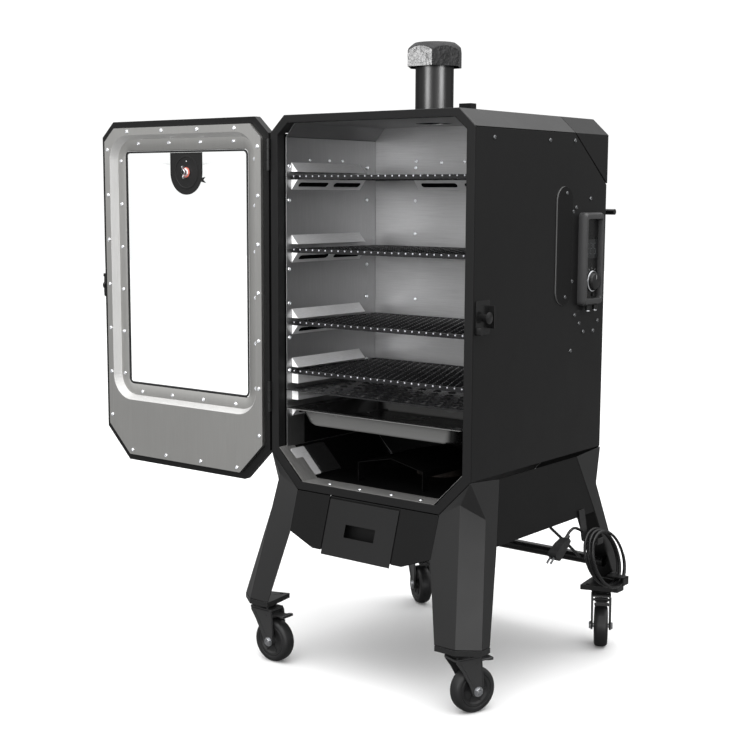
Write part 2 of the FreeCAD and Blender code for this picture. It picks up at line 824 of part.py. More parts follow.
def hopper_lid():
    verts = [(x, y, z) for y in (121, 264) for x, z in LID_TOP]
    verts += [(-266, 264, 1064), (266, 264, 1064)]
    tris = quad(1, 2, 6, 5) + quad(0, 1, 5, 4) + quad(2, 3, 7, 6)
    tris += [(0, 4, 8), (3, 9, 7), (4, 5, 6), (4, 6, 7), (8, 4, 7), (8, 7, 9)]
    skin = thick(verts, tris, 2.0)
    handle = fuse(
        box(-16, 16, 88, 150, 1206, 1209),
        box(-16, 16, 121.5, 150, 1205, 1207),
        box(-16, 16, 88, 110, 1208, 1240),
    )
    barrels = []
    for end_x in LID_HINGE_XS:
        x = end_x + 13
        barrels.append(fuse(
            cyl("x", 4.5, 24, x, LID_PIN_Y, LID_PIN_Z),
            box(x, x + 24, 263.8, LID_PIN_Y, LID_PIN_Z + 1, LID_PIN_Z + 4.4),
        ))
    lid = fuse(feature(skin, "LidSkin"), handle, *barrels)
    return cut(lid, cyl("x", HINGE_PIN_R + RUN, 420, -210, LID_PIN_Y, LID_PIN_Z))


# ==== door placing and hinges =========================================================
# Door pieces are drawn on the shut door, then swung about the hinge pin.
DOOR_SWING = Placement(
    Vector(0, 0, 0),
    Rotation(Z_AXIS, -float(DOOR_OPEN)),
    Vector(float(HINGE_X), float(HINGE_Y), 0),
)


def on_door(obj, y=0):
    """Swings a piece open; y is where its own origin lies on the shut door."""
    obj.Placement = DOOR_SWING.multiply(Placement(Vector(0, float(y), 0), Rotation()))
    return obj


def hinges():
    """The fixed leaves with all the pins, and the leaves that swing with the door."""
    x, y = float(HINGE_X), float(HINGE_Y)
    leaf_x0, leaf_x1 = x + 1.6, x + 4.3
    fixed, swinging = [], []
    for z in (560.0, 1090.0):
        knuckles = [cyl("z", 4, 20, x, y, z), cyl("z", 4, 20, x, y, z + 45)]
        leaf = box(leaf_x0, leaf_x1, y + 1.5, y + 32, z, z + 65)
        notch = box(x - 5, x + 4.4, y - 5, y + 5, z + 20, z + 45)
        bore = cyl("z", HINGE_PIN_R, 70, x, y, z - 2)
        fixed.append(cut(fuse(leaf, *knuckles), notch, bore))
        fixed.append(fuse(
            cyl("z", HINGE_PIN_R, 65.4, x, y, z - 0.2),
            cyl("z", 3.4, 1.6, x, y, z - 1.8),
            cyl("z", 3.4, 1.6, x, y, z + 65.2),
        ))
        door_leaf = fuse(
            cyl("z", 4, 23.6, x, y, z + 20.7),
            box(leaf_x0, leaf_x1, y - 23, y - 1, z + 20.7, z + 44.3),
        )
        swinging.append(cut(door_leaf, cyl("z", HINGE_PIN_R + RUN, 70, x, y, z)))
    ear_w = 12.4
    for end_x in LID_HINGE_XS:
        for ear_x in (end_x, end_x + 37.6):
            ear = fuse(
                cyl("x", 4.5, ear_w, ear_x, LID_PIN_Y, LID_PIN_Z),
                box(ear_x, ear_x + ear_w, 264.2, LID_PIN_Y + 1, LID_PIN_Z - 26, LID_PIN_Z - 1),
            )
            fixed.append(cut(ear, cyl("x", HINGE_PIN_R, 60, end_x - 5, LID_PIN_Y, LID_PIN_Z)))
        fixed.append(cyl("x", HINGE_PIN_R, 50.4, end_x - 0.2, LID_PIN_Y, LID_PIN_Z))
    return group(*fixed), on_door(group(*swinging))


# ==== door ============================================================================
def door_panel():
    inside = octagon(HALF_W - 2, CAB_BOT + 2, CAB_TOP - 2, 75.2, 75.2, 38.4, 35.2)
    rim = octagon(HALF_W - RIM_W, CAB_BOT + RIM_W, CAB_TOP - RIM_W, 70, 70, 33, 31)
    window = rect(-GLASS_HW, GLASS_BOT, GLASS_HW, GLASS_TOP)
    depth = DOOR_RIM - DOOR_OUT - 2
    body = new_body("DoorPanel")
    pad(body, "XZ", [CABINET, window], 2)
    pad(body, "XZ", [CABINET, inside], depth, back=True)
    pad(body, "XZ", [CABINET, rim], 2, lift=-depth)
    return on_door(body, DOOR_OUT + 2)


def recess_funnel():
    """The sloping walls and narrow floor between the liner face and the window."""
    half, bottom, top = float(GLASS_HW), float(GLASS_BOT), float(GLASS_TOP)
    # each ring: growth in x and in z beyond the glass opening, corner leg, y
    rings = ((36.4, 37.4, 30.2, -265.2), (27.0, 28.0, 24.0, -283.2), (0.6, 0.6, 9.0, -283.2))
    verts = []
    for grow_x, grow_z, leg, y in rings:
        outline = chamfered(half + grow_x, bottom - grow_z, top + grow_z, leg)
        verts += [(x, y, z) for x, z in outline]
    tris = []
    for ring in (0, 8):
        for k in range(8):
            tris += ring_quad(ring, 8, k)
    return on_door(feature(thick(verts, flip(tris), 1.4), "Recess"))


def door_liner():
    def inset(gap, low, high_x, high_z):
        edge = RIM_W + gap
        return octagon(HALF_W - edge, CAB_BOT + edge, CAB_TOP - edge, low, low, high_x, high_z)

    outside = inset(0.5, 70, 33, 31)
    inside = inset(2, 69.2, 32.4, 30.4)
    recess = chamfered(GLASS_HW + 36, GLASS_BOT - 37.0, GLASS_TOP + 37.0, 30.0)
    body = new_body("DoorLiner")
    pad(body, "XZ", [outside, recess], LINER)
    pad(body, "XZ", [outside, inside], 8.3, lift=LINER)
    on_door(body, DOOR_IN)
    return fuse(body, recess_funnel())


def window_glass():
    lap = 11
    pane = box(
        -GLASS_HW - lap, GLASS_HW + lap, -288.6, -284.6, GLASS_BOT - lap, GLASS_TOP + lap
    )
    return on_door(cut(pane, cyl("y", 7, 20, GAUGE_X, -295, GAUGE_Z)))


def window_gasket():
    body = new_body("WindowGasket")
    outside = chamfered(GLASS_HW - 0.6, GLASS_BOT + 0.6, GLASS_TOP - 0.6, 9)
    inside = chamfered(GLASS_HW - 5, GLASS_BOT + 5, GLASS_TOP - 5, 7)
    pad(body, "XZ", [outside, inside], 3)
    return on_door(body, -281.5)


def thermometer():
    x, z = GAUGE_X, GAUGE_Z
    plate_top = 1131
    plate = fuse(
        box(x - 51, x + 51, -284.2, -282.6, z, plate_top),
        cyl("y", 51, 1.6, x, -284.2, z),
        box(x - 62, x - 40, -284.2, -282.6, 1062, 1072),
    )
    plate = cut(plate, box(x - 60, x + 60, -286, -281, plate_top, 1150))
    stem = cyl("y", 5, 22, x, -297, z)
    dial = fuse(cyl("y", 36, 6, x, -298, z), cyl("y", 33, 1.5, x, -299.5, z))
    dial = cut(dial, cyl("y", 30, 1, x, -299.6, z))
    nut = fuse(
        cyl("y", 12, 2, x, -282.6, z),
        cyl("y", 6, 10, x, -281, z),
        box(x - 3.5, x + 3.5, -279, -273, z - 15, z + 15),
    )
    return on_door(fuse(plate, stem, dial, nut))


def door_screws():
    """Rows of heads around the liner face and around the recess floor."""
    liner_y, recess_y = -264.95, -283.15
    spots = []
    for x in (-172, -57.3, 57.3, 172):
        spots += [(x, liner_y, 1181.5), (x, liner_y, 420)]
    for k in range(7):
        spots += [(x, liner_y, 500.5 + k * 106.6) for x in (-240.8, 240.8)]
    for x in (-153, -51, 51, 153):
        spots += [(x, recess_y, 1153), (x, recess_y, 563.5)]
    for k in range(6):
        spots += [(x, recess_y, 603.3 + k * 102.1) for x in (-216.5, 213)]
    return on_door(group(*[cyl("y", SCREW_R, 1.9, x, y, z) for x, y, z in spots]))


def door_latch():
    """A lever on a short pin that stands out of the free edge of the door."""
    pin_y, pin_z = -282, 815
    x0, x1 = HALF_W + 3, HALF_W + 9
    return on_door(fuse(
        cyl("x", 6, 10, HALF_W + 0.2, pin_y, pin_z),
        box(x0, x1, -287.5, -276.5, 787, 843),
        cyl("x", 9, 6, x0, pin_y, pin_z),
        box(x0, x1, -330, pin_y, pin_z - 7, pin_z + 7),
        cyl("x", 7, 6, x0, -330, pin_z),
        box(HALF_W + 2, HALF_W + 11, -284, -276.5, 836, 844),
    ))


# ==== racks, trays and drawer =========================================================
def rack(guide_top):
    z0 = guide_top + 0.4
    z1 = z0 + RACK_H
    front, back = RACK_FRONT, RACK_BACK
    parts = [
        box(-RACK_HW, RACK_HW, front, front + RACK_WIRE, z0, z1),
        box(-RACK_HW, RACK_HW, back - RACK_WIRE, back, z0, z1),
        box(-RACK_HW, -RACK_HW + RACK_WIRE, front, back, z0, z1),
        box(RACK_HW - RACK_WIRE, RACK_HW, front, back, z0, z1),
    ]
    for k in range(3):
        y = float(front) + (float(back) - float(front)) * (k + 1) / 4
        parts.append(box(-RACK_HW + 2, RACK_HW - 2, y, y + 4, z0, z0 + 5))
    for k in range(25):
        x = -216 + 18 * k
        parts.append(box(x - 1.5, x + 1.5, front + 2, back - 2, z0 + 4, z1 - 1))
    return fuse(*parts)


def drip_tray():
    """A flat plate with staggered rows of holes, 11 and 10 in turn."""
    pitch, hole_r = 40, 8
    body = new_body("DripTray")
    holes = []
    for row in range(7):
        count, shift = (11, 0) if row % 2 == 0 else (10, pitch / 2)
        for k in range(count):
            holes.append((-200 + pitch * k + shift, -222 + pitch * row, hole_r))
    pad(body, "XY", [rect(-RACK_HW, -250, RACK_HW, 56)], 2.5, circles=holes)
    return place(body, 0, 0, 608.4)


def water_pan():
    rim_z = 569.6
    # rings: rim edge, rim fold and floor, as (half width, front y, back y, z)
    rings = ((236, -254, 56, rim_z), (205, -236, 50, rim_z), (192, -224, 38, 532))
    verts = []
    for half, front, back, z in rings:
        verts += [(x, y, z) for x, y in rect(-half, front, half, back)]
    tris = []
    for k in range(4):
        tris += ring_quad(0, 4, k) + ring_quad(4, 4, k)
    tris += quad(8, 9, 10, 11)
    return feature(thick(verts, tris, 1.5), "Pan")


def grease_drawer():
    left, right, back, bottom, top = -88, 85, -130, 300, 383
    metal = 1.5
    front = new_body("DrawerFront")
    outlines = [down_front(rect(-94, 272, 91, 387)), down_front(rect(-41, 314, 39, 340))]
    pad(front, "XZ", outlines, 2, back=True)
    place(front, 0, -HALF_D, CAB_BOT, FRONT_TILT)
    floor_plate = box(left, right, -290, back, bottom, bottom + metal)
    back_plate = box(left, right, back - metal, back, bottom, top)
    inner_front = box(left, right, -262, -260.5, bottom, 372)
    cheeks = []
    for x in (left, right - metal):
        cheek = new_body("DrawerCheek")
        outline = [(-290.6, bottom), (back, bottom), (back, top), (-266.2, top)]
        pad(cheek, "YZ", [outline], metal)
        cheeks.append(place(cheek, x, 0, 0))
    return fuse(front, floor_plate, back_plate, inner_front, *cheeks)


# ==== fasteners on the cabinet ========================================================
RIGHT_SCREWS = [
    (-196, 1150), (15, 1151), (118, 1153), (191, 1030), (129, 1011), (116, 1002), (116.5, 852),
    (132, 778), (152, 759), (171, 739), (215, 738), (235, 759), (118, 701),
]  # (y, z)
LEFT_SCREWS = RIGHT_SCREWS[:4] + RIGHT_SCREWS[-1:]


def cabinet_screws():
    heads = [cyl("x", SCREW_R, SCREW_H, SIDE_FACE, y, z) for y, z in RIGHT_SCREWS]
    left_x = -HALF_W - 0.1 - SCREW_H
    heads += [cyl("x", SCREW_R, SCREW_H, left_x, y, z) for y, z in LEFT_SCREWS]
    for z in (1098, 1024, 874, 799, 723, 650):
        for y in (-230, 43):
            for x in (-WALL_X + 0.1, WALL_X - 0.1 - SCREW_H):
                heads.append(cyl("x", SCREW_R, SCREW_H, x, y, z))
    for x in (-112, -28, 56, 132):
        heads.append(cyl("z", SCREW_R, 1.6, x, -252, 412.05))
    for z in (1042, 820):
        heads.append(cyl("x", 4, 2, HALF_W + 3.05, 84, z))
    return group(*heads)


# ==== power cord ======================================================================
PLUG = [(20, 312), (-8, 304), (-40, 286), (-18, 268), (6, 284), (28, 304)]  # (y, z)
LEAD = [(319, 26, 309), (315, 50, 319), (308, 84, 318), (303.2, 126, 302)]
INLET = [(279, 8, 345), (284, 17, 330), (292, 36, 311), (304, 66, 282), (312, 99, 252)]
UPPER_HOOK = [
    (289.4, 346), (291.9, 346), (302.4, 282), (338, 277.5),
    (339, 290), (341.5, 290), (340.2, 274.6), (299.8, 279.4),
]  # (x, z)


def coil_points():
    """Five leaning loops that step outwards in x."""
    loops, per_loop = 5, 16
    middle_y, middle_z, radius_y, radius_z = 184, 232, 71, 67
    points = []
    for i in range(loops * per_loop + 1):
        angle = 2 * math.pi * i / per_loop
        z = middle_z + radius_z * math.sin(angle)
        y = middle_y + radius_y * math.cos(angle) - 0.25 * radius_z * math.sin(angle)
        x = 317 + 5 * i / per_loop + 0.19 * (middle_z - z)
        points.append((x, y, z))
    return points


def round_cord(points):
    points = [Vector(*p) for p in points]
    curve = Part.BSplineCurve()
    curve.interpolate(points)
    start = curve.tangent(curve.FirstParameter)[0]
    profile = Part.Wire(Part.makeCircle(3.2, points[0], start))
    return Part.Wire(curve.toShape()).makePipeShell([profile], True, True)


def power_cord():
    plug = feature(prism(PLUG, 20, Vector(311, 0, 0), X_AXIS, Y_AXIS), "Plug")
    lead = feature(round_cord(LEAD), "Lead")
    inlet = feature(round_cord(INLET), "Lead")
    upper_hook = feature(prism(UPPER_HOOK, 24, Vector(0, 128, 0), Y_AXIS, X_AXIS), "Hook")
    lower_arm = fuse(
        box(315, 362, 212, 236, 184, 186.5),
        box(359.5, 362, 212, 236, 168, 186.5),
        box(315, 320, 212, 262, 184, 186.5),
    )
    coil = feature(round_cord(coil_points()), "Cord")
    return group(coil, plug, lead, inlet, upper_hook, lower_arm)


# ==== casters =========================================================================
# name ending, side in x, side in y, swivel angle in degrees
CASTERS = (("fl", -1, -1, 0.0), ("fr", 1, -1, 68.3), ("rl", -1, 1, -34.3), ("rr", 1, 1, -60))
# (x, z) from the stem, before swivelling
FORK_PLATE = [(-28, 119), (36, 119), (41, 70), (39, 38), (17, 38), (8, 62), (-10, 94)]
PEDAL_X, PEDAL_Z, PEDAL_PIN_R = 24, 108, 3


def caster_fork():
    head = cyl("z", 24, 10.6, 0, 0, FOOT_Z - 11)
    bridge = box(-28, 36, -22, 22, 117.4, 121.6)
    holes = [(TRAIL, WHEEL_R, AXLE_R + RUN), (PEDAL_X, PEDAL_Z, PEDAL_PIN_R + RUN)]
    plates = []
    for side in (-1, 1):
        plate = new_body("ForkPlate")
        pad(plate, "XZ", [FORK_PLATE], 3.5, circles=holes, back=side > 0)
        plates.append(place(plate, 0, side * 18.5, 0))
    fork = fuse(head, bridge, *plates)
    axle = fuse(
        cyl("y", AXLE_R, 50, TRAIL, -25, WHEEL_R),
        cyl("y", 8.5, 5, TRAIL, -27.2, WHEEL_R),
        cyl("y", 8.5, 5, TRAIL, 22.2, WHEEL_R),
    )
    return group(fork, axle)


def caster_wheel():
    edge = -WHEEL_W / 2

    def disc(radius, length, y):
        return cyl("y", radius, length, TRAIL, y, WHEEL_R)

    bore_r = AXLE_R + RUN
    tyre = cut(disc(WHEEL_R, WHEEL_W, edge), disc(35.1, WHEEL_W + 4, edge - 2))
    hub = cut(disc(35, WHEEL_W - 4, edge + 2), disc(bore_r, WHEEL_W + 4, edge - 2))
    boss = cut(disc(10, 35, -17.5), disc(bore_r, WHEEL_W + 14, edge - 6))
    return group(tyre, fuse(hub, boss))


def caster_brake():
    return fuse(
        cyl("y", PEDAL_PIN_R, 43, PEDAL_X, -21.5, PEDAL_Z),
        cyl("y", 5.5, 30, PEDAL_X, -15, PEDAL_Z),
        box(PEDAL_X, 62, -13, 13, 106, 110),
        box(54, 68, -17, 17, 106, 112),
    )


# ==== build every piece ===============================================================
finish("front_frame", front_frame())
finish("left_side_panel", side_panel("LeftSide", -HALF_W))
finish("right_side_panel", side_panel("RightSide", HALF_W - SKIN))
for build in (
    roof_panel, rear_panel, chamber_liner, chamber_back_liner, lower_liner, rack_supports,
    base_aprons, legs_and_feet, rear_crossbar, chimney_stack, chimney_cap,
    hopper_bin, auger_tube, auger, auger_motor, fire_pot, flame_baffle, fan_housing,
    fan_impeller, controller_housing, control_knob, power_button, probe_jacks,
    side_cover_plate, latch_keeper, rear_handle, hopper_lid,
):
    finish(build.__name__, build())
fixed_hinges, door_hinges = hinges()
finish("hinge_leaves_and_pins", fixed_hinges)
finish("door_hinge_leaves", door_hinges)
for build in (
    door_panel, door_liner, window_glass, window_gasket, thermometer, door_screws, door_latch,
):
    finish(build.__name__, build())
for number, guide_top in enumerate(RACK_GUIDE_TOPS, 1):
    finish("rack_%d" % number, rack(guide_top))
for build in (drip_tray, water_pan, grease_drawer, cabinet_screws, power_cord):
    finish(build.__name__, build())
for ending, sign_x, sign_y, angle in CASTERS:
    stem = Vector(sign_x * float(STEM_X), sign_y * float(STEM_Y), 0)
    for build in (caster_fork, caster_wheel, caster_brake):
        part = build()
        part.Placement = Placement(stem, Rotation(Z_AXIS, angle))
        finish("%s_%s" % (build.__name__, ending), part)

# ==== check and write =================================================================
doc.recompute()
bad = [o.Name for o in doc.Objects if "Invalid" in o.State or "Error" in o.State]
if bad:
    raise RuntimeError("failed objects: %s" % bad)
for name, obj in nodes.items():
    if obj.Shape.isNull() or not obj.Shape.isValid() or not obj.Shape.Solids:
        raise RuntimeError("bad shape: %s" % name)
os.makedirs("parts", exist_ok=True)
for name, obj in sorted(nodes.items()):
    obj.Shape.exportStep("parts/%s.step" % name)
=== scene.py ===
# An upright pellet smoker on casters, with its door swung wide open.
# It stands on Z = 0 with its front towards -Y; the controller is on the +X side.
# Pieces are drawn in millimetres and scaled to metres by Shape.make. The door's
# pieces are drawn in their closed position and carried open by DOOR.
import json
import math
import random

import bmesh
import bpy
from mathutils import Matrix, Vector
from mathutils.geometry import tessellate_polygon


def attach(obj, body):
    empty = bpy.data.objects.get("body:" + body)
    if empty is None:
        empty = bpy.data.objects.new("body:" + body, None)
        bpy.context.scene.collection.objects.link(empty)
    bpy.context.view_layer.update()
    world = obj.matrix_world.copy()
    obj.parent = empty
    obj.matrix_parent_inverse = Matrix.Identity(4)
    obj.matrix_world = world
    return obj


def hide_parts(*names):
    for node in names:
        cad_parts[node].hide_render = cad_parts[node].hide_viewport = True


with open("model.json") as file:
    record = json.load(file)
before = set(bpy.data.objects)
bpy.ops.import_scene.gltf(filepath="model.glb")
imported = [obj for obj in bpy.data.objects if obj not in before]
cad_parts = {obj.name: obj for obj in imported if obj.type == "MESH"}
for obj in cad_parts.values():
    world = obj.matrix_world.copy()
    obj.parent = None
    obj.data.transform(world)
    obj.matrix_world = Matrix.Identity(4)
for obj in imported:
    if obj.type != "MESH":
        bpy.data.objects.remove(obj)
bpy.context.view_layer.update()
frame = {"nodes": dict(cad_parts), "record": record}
NODES = frame["nodes"]
random.seed(7)

MM = 0.001
SIDE_X = 266.1  # outer face of the cabinet's sides, to either side of X = 0
WALL_X = 242.9  # inner face of the chamber's side walls
BACK_Y = 76.9  # front face of the chamber's back wall
FLANGE_Y = -265.0  # outer flange of the door liner
WINDOW = (-197, 580.5, 197, 1136.5)  # x0, z0, x1, z1 of the door's window opening
DIAL_X, DIAL_Z = -5.0, 1086.0  # thermometer centre
DIAL = (DIAL_X, 0, DIAL_Z)
KNOB_Y, KNOB_Z = 190, 850  # controller knob centre
RACK_SEATS = (1069, 910, 750, 642)  # heights of the guide tops under the racks


def turned(centre, degrees, axis):
    """Placement at centre, rotated about an axis."""
    return Matrix.Translation(centre) @ Matrix.Rotation(math.radians(degrees), 4, axis)


HINGE = (-270.5, -267, 0)
DOOR = turned(HINGE, -179.1, "Z") @ Matrix.Translation(HINGE).inverted()


# ---------------------------------------------------------------------------------------
# materials
# ---------------------------------------------------------------------------------------
MATERIALS = {}
SHADER_INPUTS = {
    "color": "Base Color", "rough": "Roughness", "metal": "Metallic",
    "spec": "Specular IOR Level", "coat": "Coat Weight", "coat_rough": "Coat Roughness",
}


def add_node(tree, kind, inputs, **settings):
    """Adds a shader node. Each input takes a value, or an output socket to link from."""
    node = tree.nodes.new("ShaderNode" + kind)
    for key, value in settings.items():
        setattr(node, key, value)
    for key, value in inputs.items():
        if isinstance(value, bpy.types.NodeSocket):
            tree.links.new(value, node.inputs[key])
        else:
            node.inputs[key].default_value = value
    return node


def map_range(tree, value, start, end, low, high, **settings):
    """Maps start..end to low..high."""
    inputs = {"Value": value, "From Min": start, "From Max": end, "To Min": low, "To Max": high}
    return add_node(tree, "MapRange", inputs, **settings).outputs["Result"]


def tinted(level, *tint):
    return tuple(level * share for share in tint)


class Material:
    """Builds one procedural material and files it in MATERIALS under its name."""

    def __init__(self, name, **values):
        self.data = bpy.data.materials.new(name)
        self.data.use_nodes = True
        self.tree = self.data.node_tree
        self.shader = self.tree.nodes["Principled BSDF"]
        self.coord = self.node("TexCoord", {})
        MATERIALS[name] = self.data
        for key, value in values.items():
            if key == "color":
                value = (*value, 1.0)
            self.shader.inputs[SHADER_INPUTS[key]].default_value = value

    def node(self, kind, inputs, **settings):
        return add_node(self.tree, kind, inputs, **settings)

    def feed(self, key, socket):
        """Links a socket to one of the main shader's inputs."""
        self.tree.links.new(socket, self.shader.inputs[SHADER_INPUTS.get(key, key)])

    def surface(self, shader):
        """Makes a shader node the final surface."""
        output = self.tree.nodes["Material Output"]
        self.tree.links.new(shader.outputs[0], output.inputs["Surface"])

    def noise(self, scale, detail=3.0, roughness=0.5, stretch=(1, 1, 1)):
        vector = {"Vector": self.coord.outputs["Object"], "Scale": stretch}
        mapping = self.node("Mapping", vector)
        inputs = {"Scale": scale, "Detail": detail, "Roughness": roughness}
        inputs["Vector"] = mapping.outputs["Vector"]
        return self.node("TexNoise", inputs).outputs["Fac"]

    def span(self, fac, low, high, start=0.3, end=0.7):
        return map_range(self.tree, fac, start, end, low, high)

    def facing(self, axis, start, end, low=0.0, high=1.0):
        """Value that follows one component of the surface direction."""
        coord = self.node("TexCoord", {})
        parts = self.node("SeparateXYZ", {0: coord.outputs["Normal"]})
        return map_range(self.tree, parts.outputs[axis], start, end, low, high,
                         interpolation_type="SMOOTHSTEP")

    def color(self, fac, dark, light, start=0.35, end=0.65):
        ramp = self.node("ValToRGB", {"Fac": fac})
        stops = ramp.color_ramp.elements
        for k, (position, color) in enumerate(((start, dark), (end, light))):
            stops[k].position = position
            stops[k].color = (*color, 1.0)
        self.feed("color", ramp.outputs["Color"])

    def rough(self, fac, low, high):
        self.feed("rough", self.span(fac, low, high))

    def bump(self, height, distance, strength, below=None):
        """Bumps the surface, on top of the bump below if there is one."""
        inputs = {"Distance": distance, "Strength": strength, "Height": height}
        if below is not None:
            inputs["Normal"] = below
        normal = self.node("Bump", inputs).outputs["Normal"]
        self.feed("Normal", normal)
        return normal


def powder_coat(name, shade, rough, peel=0.00012, spec=0.5):
    """Sprayed paint; peel is the depth in metres of its fine orange peel."""
    mat = Material(name, spec=spec)
    dark, light = tinted(shade, 0.88, 0.88, 0.9), tinted(shade, 1.12, 1.12, 1.14)
    mat.color(mat.noise(scale=3), dark, light)
    mat.rough(mat.noise(scale=14, detail=4), rough - 0.03, rough + 0.04)
    fine = mat.bump(mat.noise(scale=260, detail=2), distance=peel, strength=0.7)
    mat.bump(mat.noise(scale=2.2, detail=1), distance=0.0012, strength=0.5, below=fine)


def brushed(name, shade, rough, stretch, tint=(1, 1, 1), vary=0.10, metal=1.0):
    """Brushed steel; stretch squeezes the noise into streaks along its smallest axis."""
    mat = Material(name, metal=metal)
    streak = mat.noise(scale=1, detail=6, roughness=0.75, stretch=stretch)
    soft = mat.noise(scale=5)
    mix = mat.node("Math", {0: streak, 1: 0.75}, operation="MULTIPLY_ADD")
    soft_share = mat.node("Math", {0: soft, 1: 0.25}, operation="MULTIPLY")
    mat.tree.links.new(soft_share.outputs[0], mix.inputs[2])
    dark, light = (tinted(shade * level, *tint) for level in (1 - vary, 1 + vary))
    mat.color(mix.outputs[0], dark, light, start=0.38, end=0.62)
    mat.rough(streak, rough - 0.05, rough + 0.07)
    mat.bump(streak, distance=0.00005, strength=0.6)


def zinc(name, shade, rough):
    mat = Material(name, metal=1.0)
    grain = mat.noise(scale=600)
    mat.color(grain, tinted(shade, 0.92, 0.94, 0.97), tinted(shade, 1, 1.01, 1.04))
    mat.rough(mat.noise(scale=300, detail=4), rough - 0.06, rough + 0.08)
    mat.bump(grain, distance=0.00003, strength=0.5)


def porcelain(name, shade):
    mat = Material(name, coat=0.25, coat_rough=0.08, spec=0.3)
    dark, light = tinted(shade, 0.8, 0.8, 0.85), tinted(shade, 1.3, 1.3, 1.4)
    mat.color(mat.noise(scale=9, detail=4), dark, light)
    mat.rough(mat.noise(scale=60), 0.2 - 0.05, 0.2 + 0.12)
    mat.bump(mat.noise(scale=150), distance=0.00004, strength=0.5)


def rubber(name, shade, rough, grain):
    """Rubber or plastic; grain is the scale of its fine bumps."""
    mat = Material(name, spec=0.4)
    dark, light = tinted(shade, 0.75, 0.75, 0.78), tinted(shade, 1.35, 1.35, 1.38)
    mat.color(mat.noise(scale=25, detail=5), dark, light)
    mat.rough(mat.noise(scale=90, detail=4), rough - 0.08, rough + 0.1)
    mat.bump(mat.noise(scale=grain), distance=0.0001, strength=0.6)


def speckled(name, scale, dark, light, detail=2.0, **values):
    """A plain surface whose color drifts between two tones."""
    mat = Material(name, **values)
    mat.color(mat.noise(scale, detail), dark, light)
    return mat


def cover_plate_paint_rim_highlight():
    """Dark on faces square to X; round their edges it is lighter, a painted highlight, and shinier.
    """
    mat = Material("cover_plate_paint_rim_highlight")
    flat = mat.facing("X", start=0.93, end=0.995)
    # painted highlight: the bevelled rim gets the light grey, the flat faces the near-black paint
    mat.color(flat, (0.16, 0.16, 0.16), (0.0045, 0.0045, 0.0046), start=0.0, end=1.0)
    mat.feed("spec", mat.span(flat, low=0.8, high=0.2, start=0.0, end=1.0))
    mat.rough(mat.noise(scale=14, detail=4), 0.38, 0.46)
    mat.bump(mat.noise(scale=260, detail=2), distance=0.00008, strength=0.7)


def pan_enamel_painted_front_light():
    """Dark enamel, lighter on faces turned to -Y as painted light from the front."""
    mat = Material("pan_enamel_painted_front_light", spec=0.35)
    front = mat.facing("Y", start=-0.95, end=-0.55)
    # painted light: faces turned to -Y get the lighter grey, as if lit from the front
    mat.color(front, (0.13, 0.13, 0.128), (0.009, 0.009, 0.009), start=0.0, end=1.0)
    mat.rough(mat.noise(scale=14, detail=4), 0.2, 0.3)
    mat.bump(mat.noise(scale=260, detail=2), distance=0.00005, strength=0.7)


def cast_iron():
    mat = speckled("cast_iron", 40, (0.025, 0.022, 0.02), (0.09, 0.075, 0.065), 6, metal=0.6)
    mat.rough(mat.noise(scale=80, detail=4), 0.6, 0.85)
    mat.bump(mat.noise(scale=260, detail=6), distance=0.0006, strength=0.8)


def clear_glass():
    """See-through, with a weak smeared reflection."""
    mat = Material("clear_glass")
    mat.tree.nodes.remove(mat.shader)
    clear = mat.node("BsdfTransparent", {"Color": (0.985, 0.992, 0.99, 1)})
    smear = mat.noise(scale=6, detail=4, roughness=0.6, stretch=(1, 1, 0.4))
    gloss = mat.node("BsdfGlossy", {"Roughness": mat.span(smear, 0.015, 0.05)})
    fresnel = mat.node("Fresnel", {"IOR": 1.3})
    weak = mat.node("Math", {0: fresnel.outputs[0], 1: 0.2}, operation="MULTIPLY")
    mat.surface(mat.node("MixShader", {
        "Fac": weak.outputs[0], 1: clear.outputs[0], 2: gloss.outputs[0]}))


def hammered_cap():
    """Dented sheet, less shiny where it faces up."""
    mat = Material("hammered_cap", spec=0.6)
    mat.feed("spec", mat.facing("Z", start=0.12, end=0.5, low=0.75, high=0.10))
    mat.color(mat.noise(scale=30, detail=4), (0.012, 0.012, 0.0125), (0.024, 0.024, 0.025))
    mat.rough(mat.noise(scale=120, detail=4), 0.20, 0.34)
    dents = mat.noise(scale=75, roughness=0.55)
    dents = mat.bump(dents, distance=0.0022, strength=0.9)
    mat.bump(mat.noise(scale=320, detail=2), distance=0.0004, strength=0.6, below=dents)


